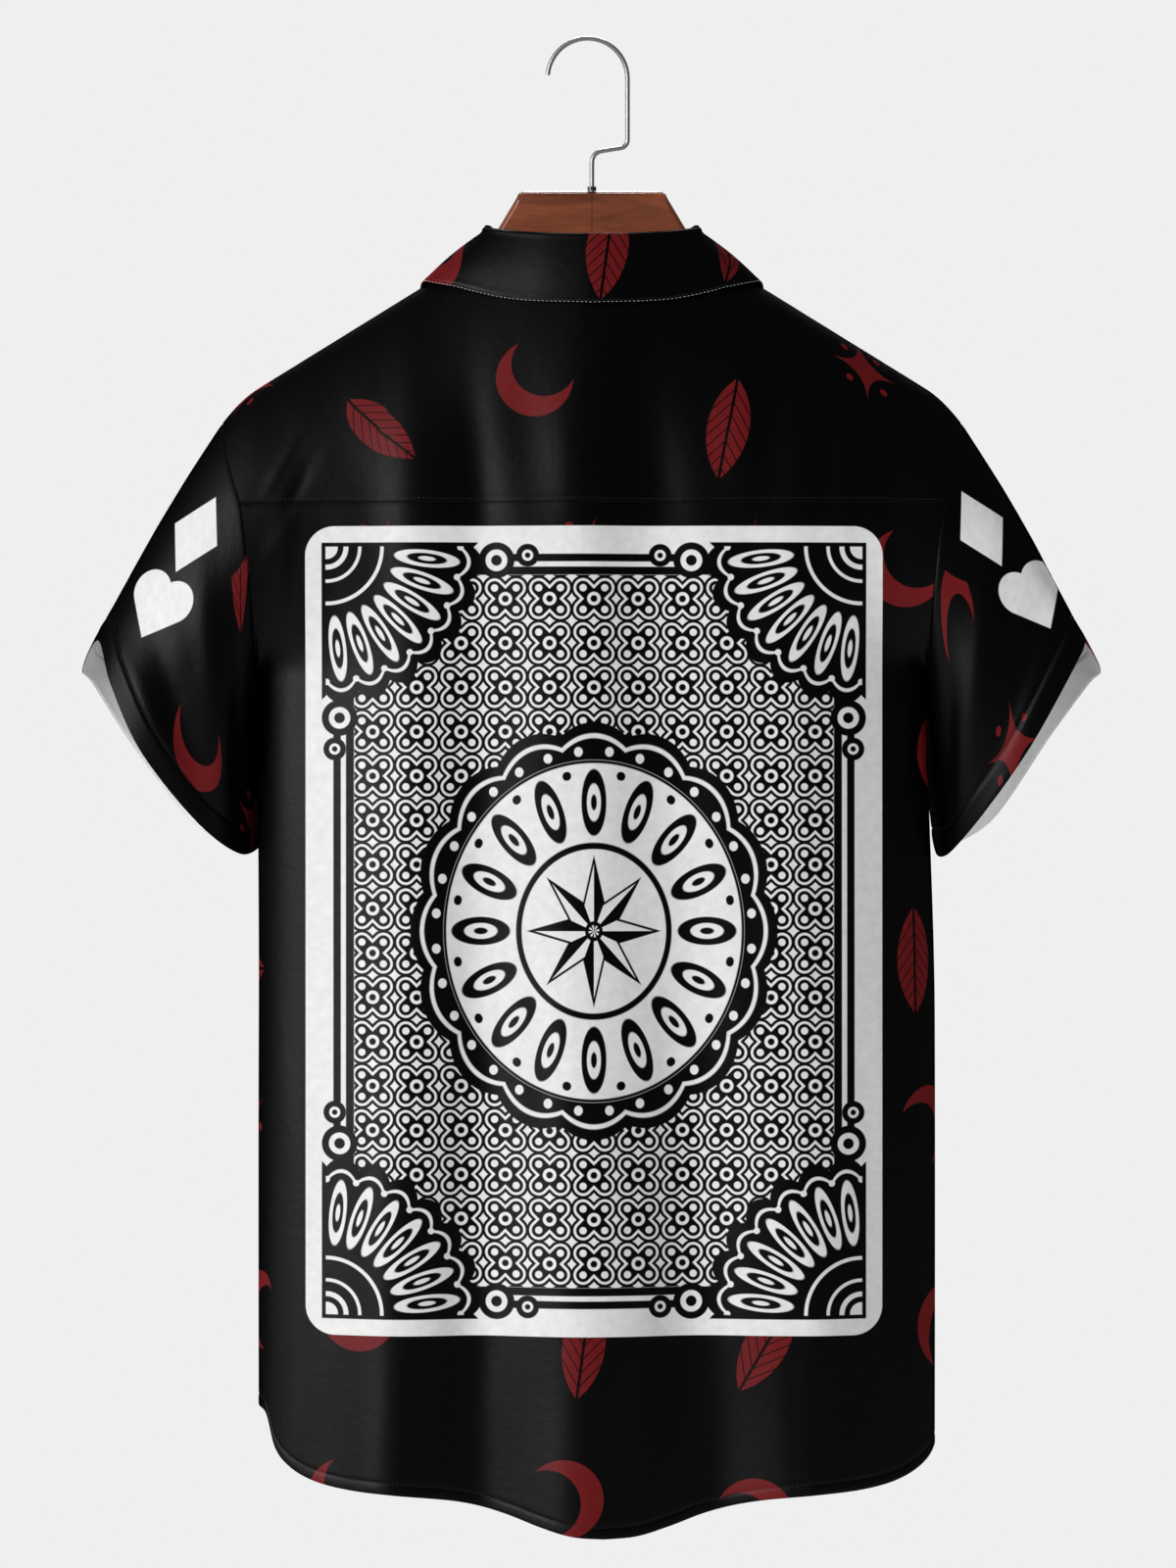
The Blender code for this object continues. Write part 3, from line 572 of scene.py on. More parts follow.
class Ink:
    """A number that varies over the cloth's face, worked out by the shader's Math nodes."""

    def __init__(self, socket):
        self.socket = socket

    def worked(self, operation, *others, clamp=False):
        node = self.socket.id_data.nodes.new("ShaderNodeMath")
        node.operation = operation
        node.use_clamp = clamp
        for place, value in zip(node.inputs, (self, *others)):
            fed(place, value)
        return Ink(node.outputs[0])

    def __add__(self, other):
        return self.worked("ADD", other)

    def __sub__(self, other):
        return self.worked("SUBTRACT", other)

    def __rsub__(self, other):
        return self.worked("MULTIPLY_ADD", -1.0, other)

    def __mul__(self, other):
        return self.worked("MULTIPLY", other)

    def __abs__(self):
        return self.worked("ABSOLUTE")

    def least(self, other):
        return self.worked("MINIMUM", other)

    def most(self, other):
        return self.worked("MAXIMUM", other)

    def folded(self, half):
        """The distance to the nearest of marks that are two halves apart."""
        return self.worked("PINGPONG", half)

    def within(self, reach, edge=INK_EDGE):
        """1 where the number is less than reach and 0 past it, with a soft edge."""
        return self.worked("MULTIPLY_ADD", -1.0 / edge, reach / edge + 0.5, clamp=True)

    def banded(self, stops, first=0.0, edge=INK_EDGE):
        """Bands of ink that change at each stop, from the first band's strength."""
        full = stops[-1] + 4 * edge
        node = gave(self.socket.id_data.nodes, "ShaderNodeValToRGB", Fac=self * (1.0 / full))
        marks, strength = [(0.0, first)], first
        for stop in stops:
            marks += [((stop - edge / 2) / full, strength), ((stop + edge / 2) / full, 1.0 - strength)]
            strength = 1.0 - strength
        while len(node.color_ramp.elements) < len(marks):
            node.color_ramp.elements.new(1.0)
        for element, (position, value) in zip(node.color_ramp.elements, marks):
            element.position = position
            element.color = (value, value, value, 1.0)
        return Ink(node.outputs["Color"])


def reach_of(x, y):
    """The distance from x = y = 0."""
    return (x * x).worked("ADD", y * y).worked("SQRT")


def flat_place(nodes):
    """(across, along) on the flat cloth, in millimetres, as inks of a material."""
    spot = gave(nodes, "ShaderNodeUVMap")
    spot.uv_map = "cloth"
    parts = gave(nodes, "ShaderNodeSeparateXYZ", Vector=spot.outputs[0])
    across = Ink(parts.outputs["X"]).worked("MULTIPLY_ADD", 1 / MM, -0.5 / MM)
    along = Ink(parts.outputs["Y"]).worked("MULTIPLY_ADD", 1 / MM, -1.0 / MM)
    return across, along


def turned_place(x, y, turn):
    """x and y after a turn, given as its cosine and sine."""
    cosine, sine = turn
    return x * cosine + y * sine, y * cosine - x * sine


TOSS_PITCH, TOSS_LOOSENESS, TOSS_SKEW = 114.0, 0.42, 0.37
LEAVES_TO, MOONS_TO, SHARP = 0.42, 0.72, 0.001  # shares of the motifs, counted up; the rest are stars
LEAF_LONG, LEAF_WIDE, LEAF_RIB = 33.0, 13.0, 0.9  # half sizes
VEIN_SLANT, VEIN_APART, VEIN_WIDE = 1.3, 4.2, 0.55  # half sizes
MOON_RADIUS, MOON_CUT, MOON_CUT_RADIUS = 24.0, (10.0, 4.0), 20.5
STAR_REACH, STAR_EDGE = 5.2, 0.08  # sums of the square roots of two distances
BEAD_OFF, BEAD_RADIUS = 13.0, 2.6


def tossed_ink(across, along, start):
    """Red motifs scattered over the cloth, each turned its own way: veined leaves, moons and stars."""
    nodes = across.socket.id_data.nodes
    x, y = across * (1 / TOSS_PITCH) + start, along * (1 / TOSS_PITCH) + start * TOSS_SKEW
    spot = gave(nodes, "ShaderNodeCombineXYZ", X=x, Y=y)
    cells = nodes.new("ShaderNodeTexVoronoi")
    cells.voronoi_dimensions = "2D"
    dressed(cells, Vector=spot.outputs[0], Scale=1.0, Randomness=TOSS_LOOSENESS)
    middle = gave(nodes, "ShaderNodeSeparateXYZ", Vector=cells.outputs["Position"])
    chance = gave(nodes, "ShaderNodeSeparateColor", Color=cells.outputs["Color"])
    x = (x - Ink(middle.outputs["X"])) * TOSS_PITCH
    y = (y - Ink(middle.outputs["Y"])) * TOSS_PITCH
    angle = Ink(chance.outputs["Red"]) * (2 * math.pi)
    x, y = turned_place(x, y, (angle.worked("COSINE"), angle.worked("SINE")))
    kind = Ink(chance.outputs["Green"])

    leaf_round = (LEAF_LONG**2 + LEAF_WIDE**2) / (2 * LEAF_WIDE)
    blade = reach_of(x, abs(y) + (leaf_round - LEAF_WIDE)).within(leaf_round)
    veins = (x + abs(y) * VEIN_SLANT).folded(VEIN_APART).within(VEIN_WIDE)
    leaf = blade.least(1.0 - abs(y).within(LEAF_RIB).most(veins))
    cut = reach_of(x - MOON_CUT[0], y - MOON_CUT[1]).within(MOON_CUT_RADIUS)
    moon = reach_of(x, y).within(MOON_RADIUS).least(1.0 - cut)
    star = (abs(x).worked("SQRT") + abs(y).worked("SQRT")).within(STAR_REACH, edge=STAR_EDGE)
    beads = reach_of(abs(x) - BEAD_OFF, abs(y) - BEAD_OFF).within(BEAD_RADIUS)
    is_leaf, is_star = kind.within(LEAVES_TO, edge=SHARP), 1.0 - kind.within(MOONS_TO, edge=SHARP)
    is_moon = 1.0 - is_leaf.most(is_star)
    return leaf.least(is_leaf).most(moon.least(is_moon)).most(star.most(beads).least(is_star))


def tossed(start):
    """The inks of a cloth that has only the scattered motifs."""
    return lambda across, along: (tossed_ink(across, along, start), 0.0)


def slubbed(nodes, across, along, **sockets):
    """The unevenness of the yarn, as a noise over the flat cloth."""
    spot = gave(nodes, "ShaderNodeCombineXYZ", X=across, Y=along)
    return gave(nodes, "ShaderNodeTexNoise", Vector=spot.outputs[0], **sockets)


def woven(nodes, across, along, strength):
    """The direction that the crossing threads give the surface."""
    turn = 2 * math.pi / THREAD_PITCH
    height = (across * turn).worked("SINE") * (along * turn).worked("SINE")
    bump = gave(nodes, "ShaderNodeBump", Height=height, Strength=strength, Distance=THREAD_HIGH * MM)
    return bump.outputs[0]


def printed_cloth(name, inks):
    """The cloth's face: black, with its red and white ink and a fine weave."""
    material, nodes, shader = new_finish(name)
    across, along = flat_place(nodes)
    red, white = inks(across, along)
    slub = slubbed(nodes, across, along, Scale=0.16, Detail=5.0, Roughness=0.6)
    worn = gave(nodes, "ShaderNodeMapRange", Value=slub.outputs["Fac"], To_Min=0.82, To_Max=1.16)
    inked = blended(nodes, white, blended(nodes, red, BLACK_CLOTH, RED_INK), WHITE_INK)
    threads = woven(nodes, across, along, 0.22)
    crinkle = gave(nodes, "ShaderNodeBump", Height=slub.outputs["Fac"], Strength=0.3, Distance=0.0006)
    fed(crinkle.inputs["Normal"], threads)
    # A thin silk gloss, which fades where the surface is seen along it
    tilt = nodes.new("ShaderNodeLayerWeight")
    silk = gave(nodes, "ShaderNodeMapRange", Value=tilt.outputs["Facing"], From_Min=0.3, From_Max=0.75)
    dressed(silk, To_Min=1.0, To_Max=0.0)
    dressed(shader, Base_Color=blended(nodes, 1.0, inked, worn.outputs[0], "MULTIPLY"))
    dressed(shader, Normal=crinkle.outputs[0], Roughness=0.6, Specular_IOR_Level=0.0)
    dressed(shader, Coat_Weight=silk.outputs[0], Coat_Normal=crinkle.outputs[0])
    dressed(shader, Coat_Roughness=0.40, Coat_IOR=1.22)
    return material


BODY_PRINT_START = 0.35
CARD_MIDDLE = (1.2, -546.8)
CARD_HALF = (176.4, 247.0)
PANEL_REACH = 185.0
CARD_ROUND = 18.0
CARD_FRAME, CARD_GROUND = (17.1, 21.8, 24.9), 29.9  # how far in from the card's edge its lines and ground lie
LATTICE_PITCH, LATTICE_ARM = 27.0, 6.6
LATTICE_BANDS = (4.3, 5.8, 7.6)
LATTICE_DOT, LATTICE_RING = 2.2, (4.1, 2.1)
SCALLOP_DEEP = 6.0
Petal = namedtuple("Petal", "ahead half_long half_wide bands edge")  # bands and edge as shares
FAN_INSET, FAN_REACH, FAN_MARGIN, FAN_PETALS = 13.0, 96.0, 3.0, 7
FAN_PETAL = Petal(62.0, 20.0, 5.2, (0.26, 0.62, 1.0), 0.07)
FAN_ARCS, FAN_LINE = (7.0, 10.5, 13.5, 19.5, 21.5, 33.0, 35.2), (86.5, 88.7)
FAN_BEAD, FAN_BEAD_RADIUS = 81.5, 1.9
Ring = namedtuple("Ring", "along aside radius hole")
FAN_RINGS = (Ring(104.0, 8.0, 11.0, 6.6), Ring(123.0, 5.0, 7.0, 3.4))
ROSE_WIDE, ROSE_TALL, ROSE_PETALS = 112.0, 0.88, 16
ROSE_RIM, ROSE_BEAD, ROSE_BEAD_RADIUS = (103.5, 106.0), 96.5, 2.6
ROSE_PETAL = Petal(69.0, 18.0, 7.6, (0.24, 0.56, 1.0), 0.06)
ROSE_PLATE = (44.0, 47.5, 90.0, 91.8)
ROSE_SEED, ROSE_SEED_RADIUS = 83.0, 2.4
STAR_TIP, STAR_NOTCH, STAR_TURN, STAR_LINE = 41.0, 17.0, math.pi / 8, 1.3
CORE_BANDS, CORE_RADIUS = (3.2, 5.4), 7.6


def lattice_ink(x, y):
    """The card's ground: a common repeat of small crosses and dots, with white rings between them."""
    half = LATTICE_PITCH / 2
    over, up = x.folded(half), (y + half).folded(half)
    arm = ((over + up) * 0.5).least(LATTICE_ARM)
    crosses = reach_of(over - arm, up - arm).banded(LATTICE_BANDS)
    dots = reach_of(over - LATTICE_ARM, up - LATTICE_ARM).within(LATTICE_DOT)
    out, (radius, hole) = reach_of(over, up), LATTICE_RING
    return crosses.most(dots).most(out.within(radius).least(1.0 - out.within(hole)))


def scalloped(out, angle, half):
    """(the distance as a scalloped edge counts it, ahead along the nearest petal, aside from it).

    The petals are two halves of an angle apart.
    """
    off = angle.folded(half)
    lobe = off * (1 / half)
    return out + lobe * lobe * SCALLOP_DEEP, out * off.worked("COSINE"), out * off.worked("SINE")


def petal_ink(petal, ahead, aside, first=0.0):
    place = (ahead - petal.ahead) * (1 / petal.half_long), aside * (1 / petal.half_wide)
    return reach_of(*place).banded(petal.bands, first=first, edge=petal.edge)


def over_ink(white, ground, ink):
    """White ink with another over it where the ground lies."""
    return white.least(1.0 - ground).most(ink.least(ground))


def fan_ink(white, over, up):
    """A quarter rosette in each corner of the card: petals, arcs and beads in white on a scalloped ground."""
    x, y = CARD_HALF[0] - FAN_INSET - over, CARD_HALF[1] - FAN_INSET - up
    out, angle, half = reach_of(x, y), y.worked("ARCTAN2", x), math.pi / 4 / FAN_PETALS
    edge, ahead, aside = scalloped(out, angle - half, half)
    near, far = x.least(y), x.most(y)
    ground = edge.within(FAN_REACH).least(1.0 - near.within(-FAN_MARGIN))
    petals = petal_ink(FAN_PETAL, ahead, aside, first=1.0)
    arcs, line = out.banded(FAN_ARCS, first=1.0), edge.banded(FAN_LINE)
    beads = reach_of(ahead - FAN_BEAD, aside - FAN_BEAD * math.sin(half)).within(FAN_BEAD_RADIUS)
    bright = petals.most(arcs).most(line).most(beads).least(1.0 - near.within(-0.5))
    white = over_ink(white, ground, bright)
    for ring in FAN_RINGS:
        spot = reach_of(far - ring.along, near - ring.aside)
        mark = spot.within(ring.hole).least(1.0 - spot.within(ring.hole * 0.5))
        white = white.least(1.0 - spot.within(ring.radius)).most(mark)
    return white


def star_ink(out, angle):
    """A star whose rays are each half white and half lined, in black where the number is 0."""
    off = angle.folded(STAR_TURN)
    slope = STAR_NOTCH * math.sin(STAR_TURN), STAR_TIP - STAR_NOTCH * math.cos(STAR_TURN)
    size = math.hypot(*slope)
    ray = out * off.worked("COSINE") * (slope[0] / size) + out * off.worked("SINE") * (slope[1] / size)
    reach = slope[0] * STAR_TIP / size
    left = (angle * (0.5 / STAR_TURN)).worked("FRACT").within(0.5, edge=0.02)
    return 1.0 - ray.within(reach).least(1.0 - ray.within(reach - STAR_LINE).least(left))


def rosette_ink(white, x, y):
    """The card's middle: a scalloped oval rosette with a beaded rim, petals and a two-tone pointed star."""
    y = y * ROSE_TALL
    out, angle, half = reach_of(x, y), y.worked("ARCTAN2", x), math.pi / ROSE_PETALS
    edge, ahead, aside = scalloped(out, angle, half)
    white = white.least(1.0 - edge.within(ROSE_WIDE))
    rim = edge.banded(ROSE_RIM)
    off = (angle + half / 2).folded(half / 2)
    bead = reach_of(out * off.worked("COSINE") - ROSE_BEAD, out * off.worked("SINE")).within(ROSE_BEAD_RADIUS)
    petals = petal_ink(ROSE_PETAL, ahead, aside)
    plate = out.banded(ROSE_PLATE, first=1.0)
    seeds = reach_of(ahead - ROSE_SEED, aside - ROSE_SEED * math.sin(half)).within(ROSE_SEED_RADIUS)
    field = petals.least(plate).least(1.0 - seeds)
    core = out.banded(CORE_BANDS, first=1.0).most(1.0 - out.within(CORE_RADIUS))
    inside = out.within(ROSE_PLATE[-1])
    rose = field.least(star_ink(out, angle).most(1.0 - out.within(ROSE_PLATE[0]))).least(core)
    return over_ink(white.most(rim).most(bead), inside, rose)


def card_ink(across, along):
    """(where the card lies, its white ink): a white card with a double frame round its ornament."""
    x, y = across - CARD_MIDDLE[0], along - CARD_MIDDLE[1]
    over, up = abs(x), abs(y)
    corner_x, corner_y = over - (CARD_HALF[0] - CARD_ROUND), up - (CARD_HALF[1] - CARD_ROUND)
    rounded = reach_of(corner_x.most(0.0), corner_y.most(0.0))
    beyond = rounded + corner_x.most(corner_y).least(0.0) - CARD_ROUND
    card, inset = beyond.within(0.0), 0.0 - beyond
    ground = 1.0 - inset.within(CARD_GROUND)
    white = inset.banded(CARD_FRAME, first=1.0).most(ground).least(lattice_ink(x, y).most(1.0 - ground))
    white = fan_ink(white, over, up)
    white = rosette_ink(white, x, y)
    return card, white.least(card)


def back_inks(across, along):
    """The scattered motifs, which stop at the card's edge, and the card's white."""
    card, white = card_ink(across, along)
    return tossed_ink(across, along, BODY_PRINT_START).least(1.0 - card), white


inner_cloth, nodes, shader = new_finish("unprinted_cloth")
across, along = flat_place(nodes)
slub = slubbed(nodes, across, along, Scale=0.2, Detail=4.0)
shade = toned(nodes, slub, (0.76, 0.76, 0.75, 1.0), (0.88, 0.88, 0.87, 1.0))
dressed(shader, Base_Color=shade, Normal=woven(nodes, across, along, 0.25), Roughness=0.85)

Stitch = namedtuple("Stitch", "pitch long wide high")
RUNNING = Stitch(2.7, 2.0, 0.42, 0.3)
SATIN = Stitch(0.5, 0.55, 1.5, 0.34)
STITCH_NEAR = 0.25  # to each side of a stitch, for the way its line runs


def new_thread(name, dark, pale):
    material, nodes, shader = new_finish(name)
    place = nodes.new("ShaderNodeTexCoord").outputs["Object"]
    twist = gave(nodes, "ShaderNodeTexNoise", Vector=place, Scale=2600.0, Detail=1.0)
    shade = toned(nodes, twist, (dark, dark, dark, 1.0), (pale, pale, pale, 1.0))
    dressed(shader, Base_Color=shade, Roughness=0.45)
    return material


black_thread = new_thread("black_thread", 0.004, 0.022)


def sewn(name, rows, satin_rows=(), thread=black_thread):
    """Stitches along lines of points on the cloth, each line given with its outward directions."""
    form = bmesh.new()
    lines = [(RUNNING, *row) for row in rows] + [(SATIN, *row) for row in satin_rows]
    for stitch, line, outward in lines:
        steps = np.linalg.norm(np.diff(line, axis=0), axis=1)
        walked = np.concatenate([[0.0], np.cumsum(steps)])
        for at in np.arange(stitch.pitch / 2, walked[-1], stitch.pitch):
            near = (at - STITCH_NEAR, line), (at, line), (at + STITCH_NEAR, line), (at, outward)
            behind, place, ahead, up = (
                Vector([np.interp(spot, walked, column) for column in values.T]) for spot, values in near
            )
            along = (ahead - behind).normalized()
            aside = up.cross(along).normalized()
            up = along.cross(aside)
            size = along * stitch.long / 2, aside * stitch.wide / 2, up * stitch.high
            turn = Matrix(size).transposed().to_4x4()
            turn.translation = place
            bmesh.ops.create_icosphere(form, subdivisions=1, radius=1.0, matrix=turn)
    bmesh.ops.scale(form, vec=(MM, MM, MM), verts=form.verts)
    piece = built(name, form, (thread,))
    piece.data.shade_smooth()
    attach(piece, "root")
    return piece


BACK_HALF_COLUMNS = 80
BACK_BODY_ROWS, BACK_ARMHOLE_ROWS = 152, 38
across = np.sin(np.pi / 2 * np.arange(-BACK_HALF_COLUMNS, BACK_HALF_COLUMNS + 1) / BACK_HALF_COLUMNS)
foot = hem_line(across * half_width(HEM_LOW))
heights, dips = body_rows(foot, np.full_like(foot, YOKE_SEAM), BACK_BODY_ROWS, BACK_ARMHOLE_ROWS)
points, outward = draped(across[:, None] * half_width(heights), heights, -1, dips)
hem_stitches = points[:, STITCH_ROW], outward[:, STITCH_ROW]
points = turned_in(points, outward, len(HEM_UPS), HEM_UNDER)
armpit_row = 2 * len(HEM_UPS) + BACK_BODY_ROWS
flat = flat_places(points, BACK_HALF_COLUMNS, armpit_row, ARMPIT, hung_flat=PANEL_REACH)
back_cloth = printed_cloth("printed_back", back_inks)
back = cut_cloth("back_cloth", points, flat, CLOTH_THICK, (back_cloth, inner_cloth))
back_stitches = sewn("back_stitches", [hem_stitches])
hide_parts("back")


# ---- The yoke ----
# One piece over the shoulders, from its straight seam across the back, over the ridge that the hanger
# carries, to a short seam on each front. The back and the fronts are stitched under its edges.
NECK_HALF = 78.0
NECK_BACK_Z, NECK_SIDE_Z, NECK_FRONT_Z, NECK_FRONT_POWER = -149.7, -135.2, -208.0, 0.838
NECK_CORNER = math.radians(112.5)
SHARE_TO_CORNER = 11 / 19  # of the yoke's half width at its seam, as an angle


def below_ridge(over):
    """How far below the ridge the cloth lies, over millimetres round the crest from it."""
    return np.sqrt(over * over + CREST_ROUND**2) - CREST_ROUND


def round_the_ridge(below):
    return np.sqrt((np.maximum(below, 0.0) + CREST_ROUND) ** 2 - CREST_ROUND**2)


def crest_place(across, over):
    """(x, z) at across of the half width, over millimetres past the ridge; the front is over 0."""
    across, over = np.broadcast_arrays(across, over)
    z = np.full(across.shape, SHOULDER_TOP)
    for _ in range(20):
        x = across * half_width(z)
        z = shoulder_line(x) - below_ridge(over)
    return x, z


def crest_draped(across, over, proud=0.0):
    x, z = crest_place(across, over)
    return draped(x, z, np.where(over > 0, 1, -1), proud)


def neckline(angle):
    """(x, z, side) of the neckline, with angle 0 at the back's middle and pi at the front's."""
    forward = -np.cos(angle)
    ahead = between(NECK_SIDE_Z, NECK_FRONT_Z, np.maximum(forward, 0.0) ** NECK_FRONT_POWER)
    behind = between(NECK_SIDE_Z, NECK_BACK_Z, np.maximum(-forward, 0.0))
    return NECK_HALF * np.sin(angle), np.where(forward > 0, ahead, behind), np.where(forward > 0, 1, -1)


def neck_over(angle):
    """How far round the crest the neckline lies."""
    x, z, side = neckline(angle)
    return side * round_the_ridge(shoulder_line(x) - z)


FRONT_SEAM = float(neck_over(np.array(NECK_CORNER)))
CORNER_ACROSS = NECK_HALF * math.sin(NECK_CORNER) / SHOULDER_HALF
YOKE_NECK_COLUMNS, YOKE_TIP_COLUMNS, YOKE_ROWS = 44, 34, 66
YOKE_EDGE, YOKE_EDGE_WIDE = (0.0, 0.7, 2.0, 3.6), 5.0  # rows beside a seam, the third of them stitched
YOKE_EDGE_DIPS = (0.1, 0.12, -0.16, 0.06)


def yoke_columns():
    """Each column's place along the back seam, and where and how far round the crest it ends."""
    share = np.arange(YOKE_NECK_COLUMNS) / YOKE_NECK_COLUMNS
    low = np.sin(np.pi / 2 * SHARE_TO_CORNER * share)
    angle = NECK_CORNER * share
    tip = np.arange(YOKE_TIP_COLUMNS + 1) / YOKE_TIP_COLUMNS
    low = np.concatenate([low, np.sin(np.pi / 2 * between(SHARE_TO_CORNER, 1.0, tip))])
    outer = between(CORNER_ACROSS, 1.0, np.sin(np.pi / 2 * tip))
    across = np.concatenate([neckline(angle)[0] / SHOULDER_HALF, outer])
    over = np.concatenate([neck_over(angle), np.full(tip.shape, FRONT_SEAM)])
    return low, across, over


low_across, top_across, top = yoke_columns()
low = -round_the_ridge(shoulder_line(low_across * half_width(np.array(YOKE_SEAM))) - YOKE_SEAM)
long = (top - low)[:, None]
edge = np.array(YOKE_EDGE)
inner = np.arange(1, YOKE_ROWS) / YOKE_ROWS
body = YOKE_EDGE_WIDE + (long - 2 * YOKE_EDGE_WIDE) * inner
walked = np.concatenate([edge + 0 * long, body, long - edge[::-1]], axis=1)
dips = np.concatenate([YOKE_EDGE_DIPS, np.zeros(YOKE_ROWS - 1), YOKE_EDGE_DIPS[::-1]])
part = walked / long
right = crest_draped(between(low_across[:, None], top_across[:, None], part), low[:, None] + walked, dips)
left_across = between(low_across[:0:-1, None], top_across[:0:-1, None], part[:0:-1])
left = crest_draped(-left_across, low[:0:-1, None] + walked[:0:-1], dips)
points = np.concatenate([left[0], right[0]])
outward = np.concatenate([left[1], right[1]])
flat = flat_places(points, len(low) - 1, 0, YOKE_SEAM)
yoke_print = printed_cloth("printed_yoke", tossed(BODY_PRINT_START))
yoke = cut_cloth("yoke_cloth", points, flat, CLOTH_THICK, (yoke_print, inner_cloth))
front_edges = slice(None, YOKE_TIP_COLUMNS - 1), slice(-YOKE_TIP_COLUMNS + 1, None)
edge_rows = [(points[:, 2], outward[:, 2]), *((points[part, -3], outward[part, -3]) for part in front_edges)]
yoke_stitches = sewn("yoke_stitches", edge_rows)
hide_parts("yoke")


# ---- The fronts ----
# Two fronts of the same cloth, whose middle edges are folded inwards as facings. The wearer's left front
# laps over the right one and has the buttonholes. Each hangs from the yoke's seam and is hemmed like the back.
OVERLAP, LIFT, LIFT_END = 16.0, 2.1, 30.0
FACING_WIDE, FACING_UNDER = 30.0, 0.75
BUTTON_HEIGHTS = (-222, -310, -400, -490, -580, -670, -760)
BUTTONHOLE_LONG, BUTTONHOLE_WIDE = 16.0, 1.9  # between the middles of its two rows of satin stitches
FRONT_OUTER_COLUMNS, FRONT_INNER_COLUMNS = 40, 30
FRONT_BODY_ROWS, FRONT_ARMHOLE_ROWS = 152, 58


def front_top(across):
    """Height of a front's top edge: its yoke seam, or the neckline nearer the middle."""
    x = np.abs(across) * SHOULDER_HALF
    seam = crest_place(np.maximum(np.abs(across), CORNER_ACROSS), np.array(FRONT_SEAM))[1]
    neck = neckline(np.pi - np.arcsin(np.minimum(x / NECK_HALF, 1.0)))[1]
    return np.where(x >= CORNER_ACROSS * SHOULDER_HALF - 0.01, seam, neck)


def buttonholes():
    """The rows of satin stitches down both sides of each upright buttonhole, and across its ends."""
    half_wide, half_long = BUTTONHOLE_WIDE / 2, BUTTONHOLE_LONG / 2
    corners = ((-1, -1), (-1, 1), (1, 1), (1, -1), (-1, -1))
    rows = []
    for height in BUTTON_HEIGHTS:
        for (x0, z0), (x1, z1) in zip(corners, corners[1:]):
            x = np.linspace(x0 * half_wide, x1 * half_wide, 9)
            z = np.linspace(z0 * half_long, z1 * half_long, 9)
            line, outward = draped(x, height + z, 1)
            rows.append((line + np.array([0.0, LIFT, 0.0]), outward))
    return rows


def front(name, node, hand, lift, print_start, satin_rows=()):
    """One front with its facing; hand is -1 on the wearer's left."""
    steps = np.arange(FRONT_OUTER_COLUMNS, 0, -1) / FRONT_OUTER_COLUMNS
    outer = between(CORNER_ACROSS, 1.0, np.sin(np.pi / 2 * steps))
    inner = np.linspace(CORNER_ACROSS * SHOULDER_HALF, -OVERLAP, FRONT_INNER_COLUMNS + 1) / SHOULDER_HALF
    across = np.concatenate([outer, inner])
    foot = hem_line(hand * across * half_width(np.array(HEM_LOW)))
    heights, dips = body_rows(foot, front_top(across), FRONT_BODY_ROWS, FRONT_ARMHOLE_ROWS)
    points, outward = draped(hand * across[:, None] * half_width(heights), heights, 1, dips)
    points[..., 1] += lift * eased((LIFT_END - across * SHOULDER_HALF) / (LIFT_END - OVERLAP))[:, None]
    hem = points[:, STITCH_ROW], outward[:, STITCH_ROW]
    faced = int(FACING_WIDE / (CORNER_ACROSS * SHOULDER_HALF + OVERLAP) * FRONT_INNER_COLUMNS)
    facing_line = points[-faced, STITCH_ROW:-2], outward[-faced, STITCH_ROW:-2]
    bend = points[-1:] - outward[-1:] * FACING_UNDER / 2
    facing = points[-2 : -faced - 2 : -1] - outward[-2 : -faced - 2 : -1] * FACING_UNDER
    points = np.concatenate([points, bend, facing])
    outward = np.concatenate([outward, outward[-1:], -outward[-2 : -faced - 2 : -1]])
    plain_outward = outward.copy()
    plain_outward[len(across) + 1 :] *= -1
    points = turned_in(points, plain_outward, len(HEM_UPS), HEM_UNDER)
    flat = flat_places(points, len(across) - 1, 2 * len(HEM_UPS) + FRONT_BODY_ROWS, ARMPIT)
    finish = printed_cloth("printed_" + node, tossed(print_start))
    piece = cut_cloth(name, points, flat, CLOTH_THICK, (finish, inner_cloth), faces_in=hand < 0)
    stitches = sewn(name + "_stitches", [hem, facing_line], satin_rows)
    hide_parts(node)


front("front_left_cloth", "front_left", -1, LIFT, 1.63, buttonholes())
front("front_right_cloth", "front_right", 1, 0.0, 2.27)


# ---- The sleeves ----
# Short sleeves set into the armholes, each one width of cloth with its seam under the arm. The printed side
# shows outside and the white side inside the wide cuffs, whose hems are turned up 16 mm and stitched.
Cuff = namedtuple("Cuff", "out height depth")
LEFT_CUFF = (
    Cuff(303.6, -369.0, -8),
    Cuff(294.6, -396.6, -30),
    Cuff(275.4, -438.0, -40),
    Cuff(241.2, -481.2, -30),
    Cuff(215.4, -500.4, -4),
    Cuff(205.0, -491.5, 26),
    Cuff(241.5, -486.0, 52),
    Cuff(281.5, -438.0, 52),
    Cuff(308.4, -395.4, 30),
    Cuff(314.4, -386.4, 14),
)
RIGHT_CUFF = (
    Cuff(302.4, -369.0, -8),
    Cuff(300.0, -376.8, -30),
    Cuff(270.0, -431.4, -40),
    Cuff(241.2, -473.4, -30),
    Cuff(219.6, -499.8, -4),
    Cuff(215.0, -498.5, 26),
    Cuff(248.5, -479.5, 52),
    Cuff(284.0, -428.2, 52),
    Cuff(307.2, -395.4, 30),
    Cuff(313.8, -386.4, 14),
)
UNDERARM_AT = 4.5
SLEEVE_CLEAR, SLEEVE_BULGE = 0.35, 3.0
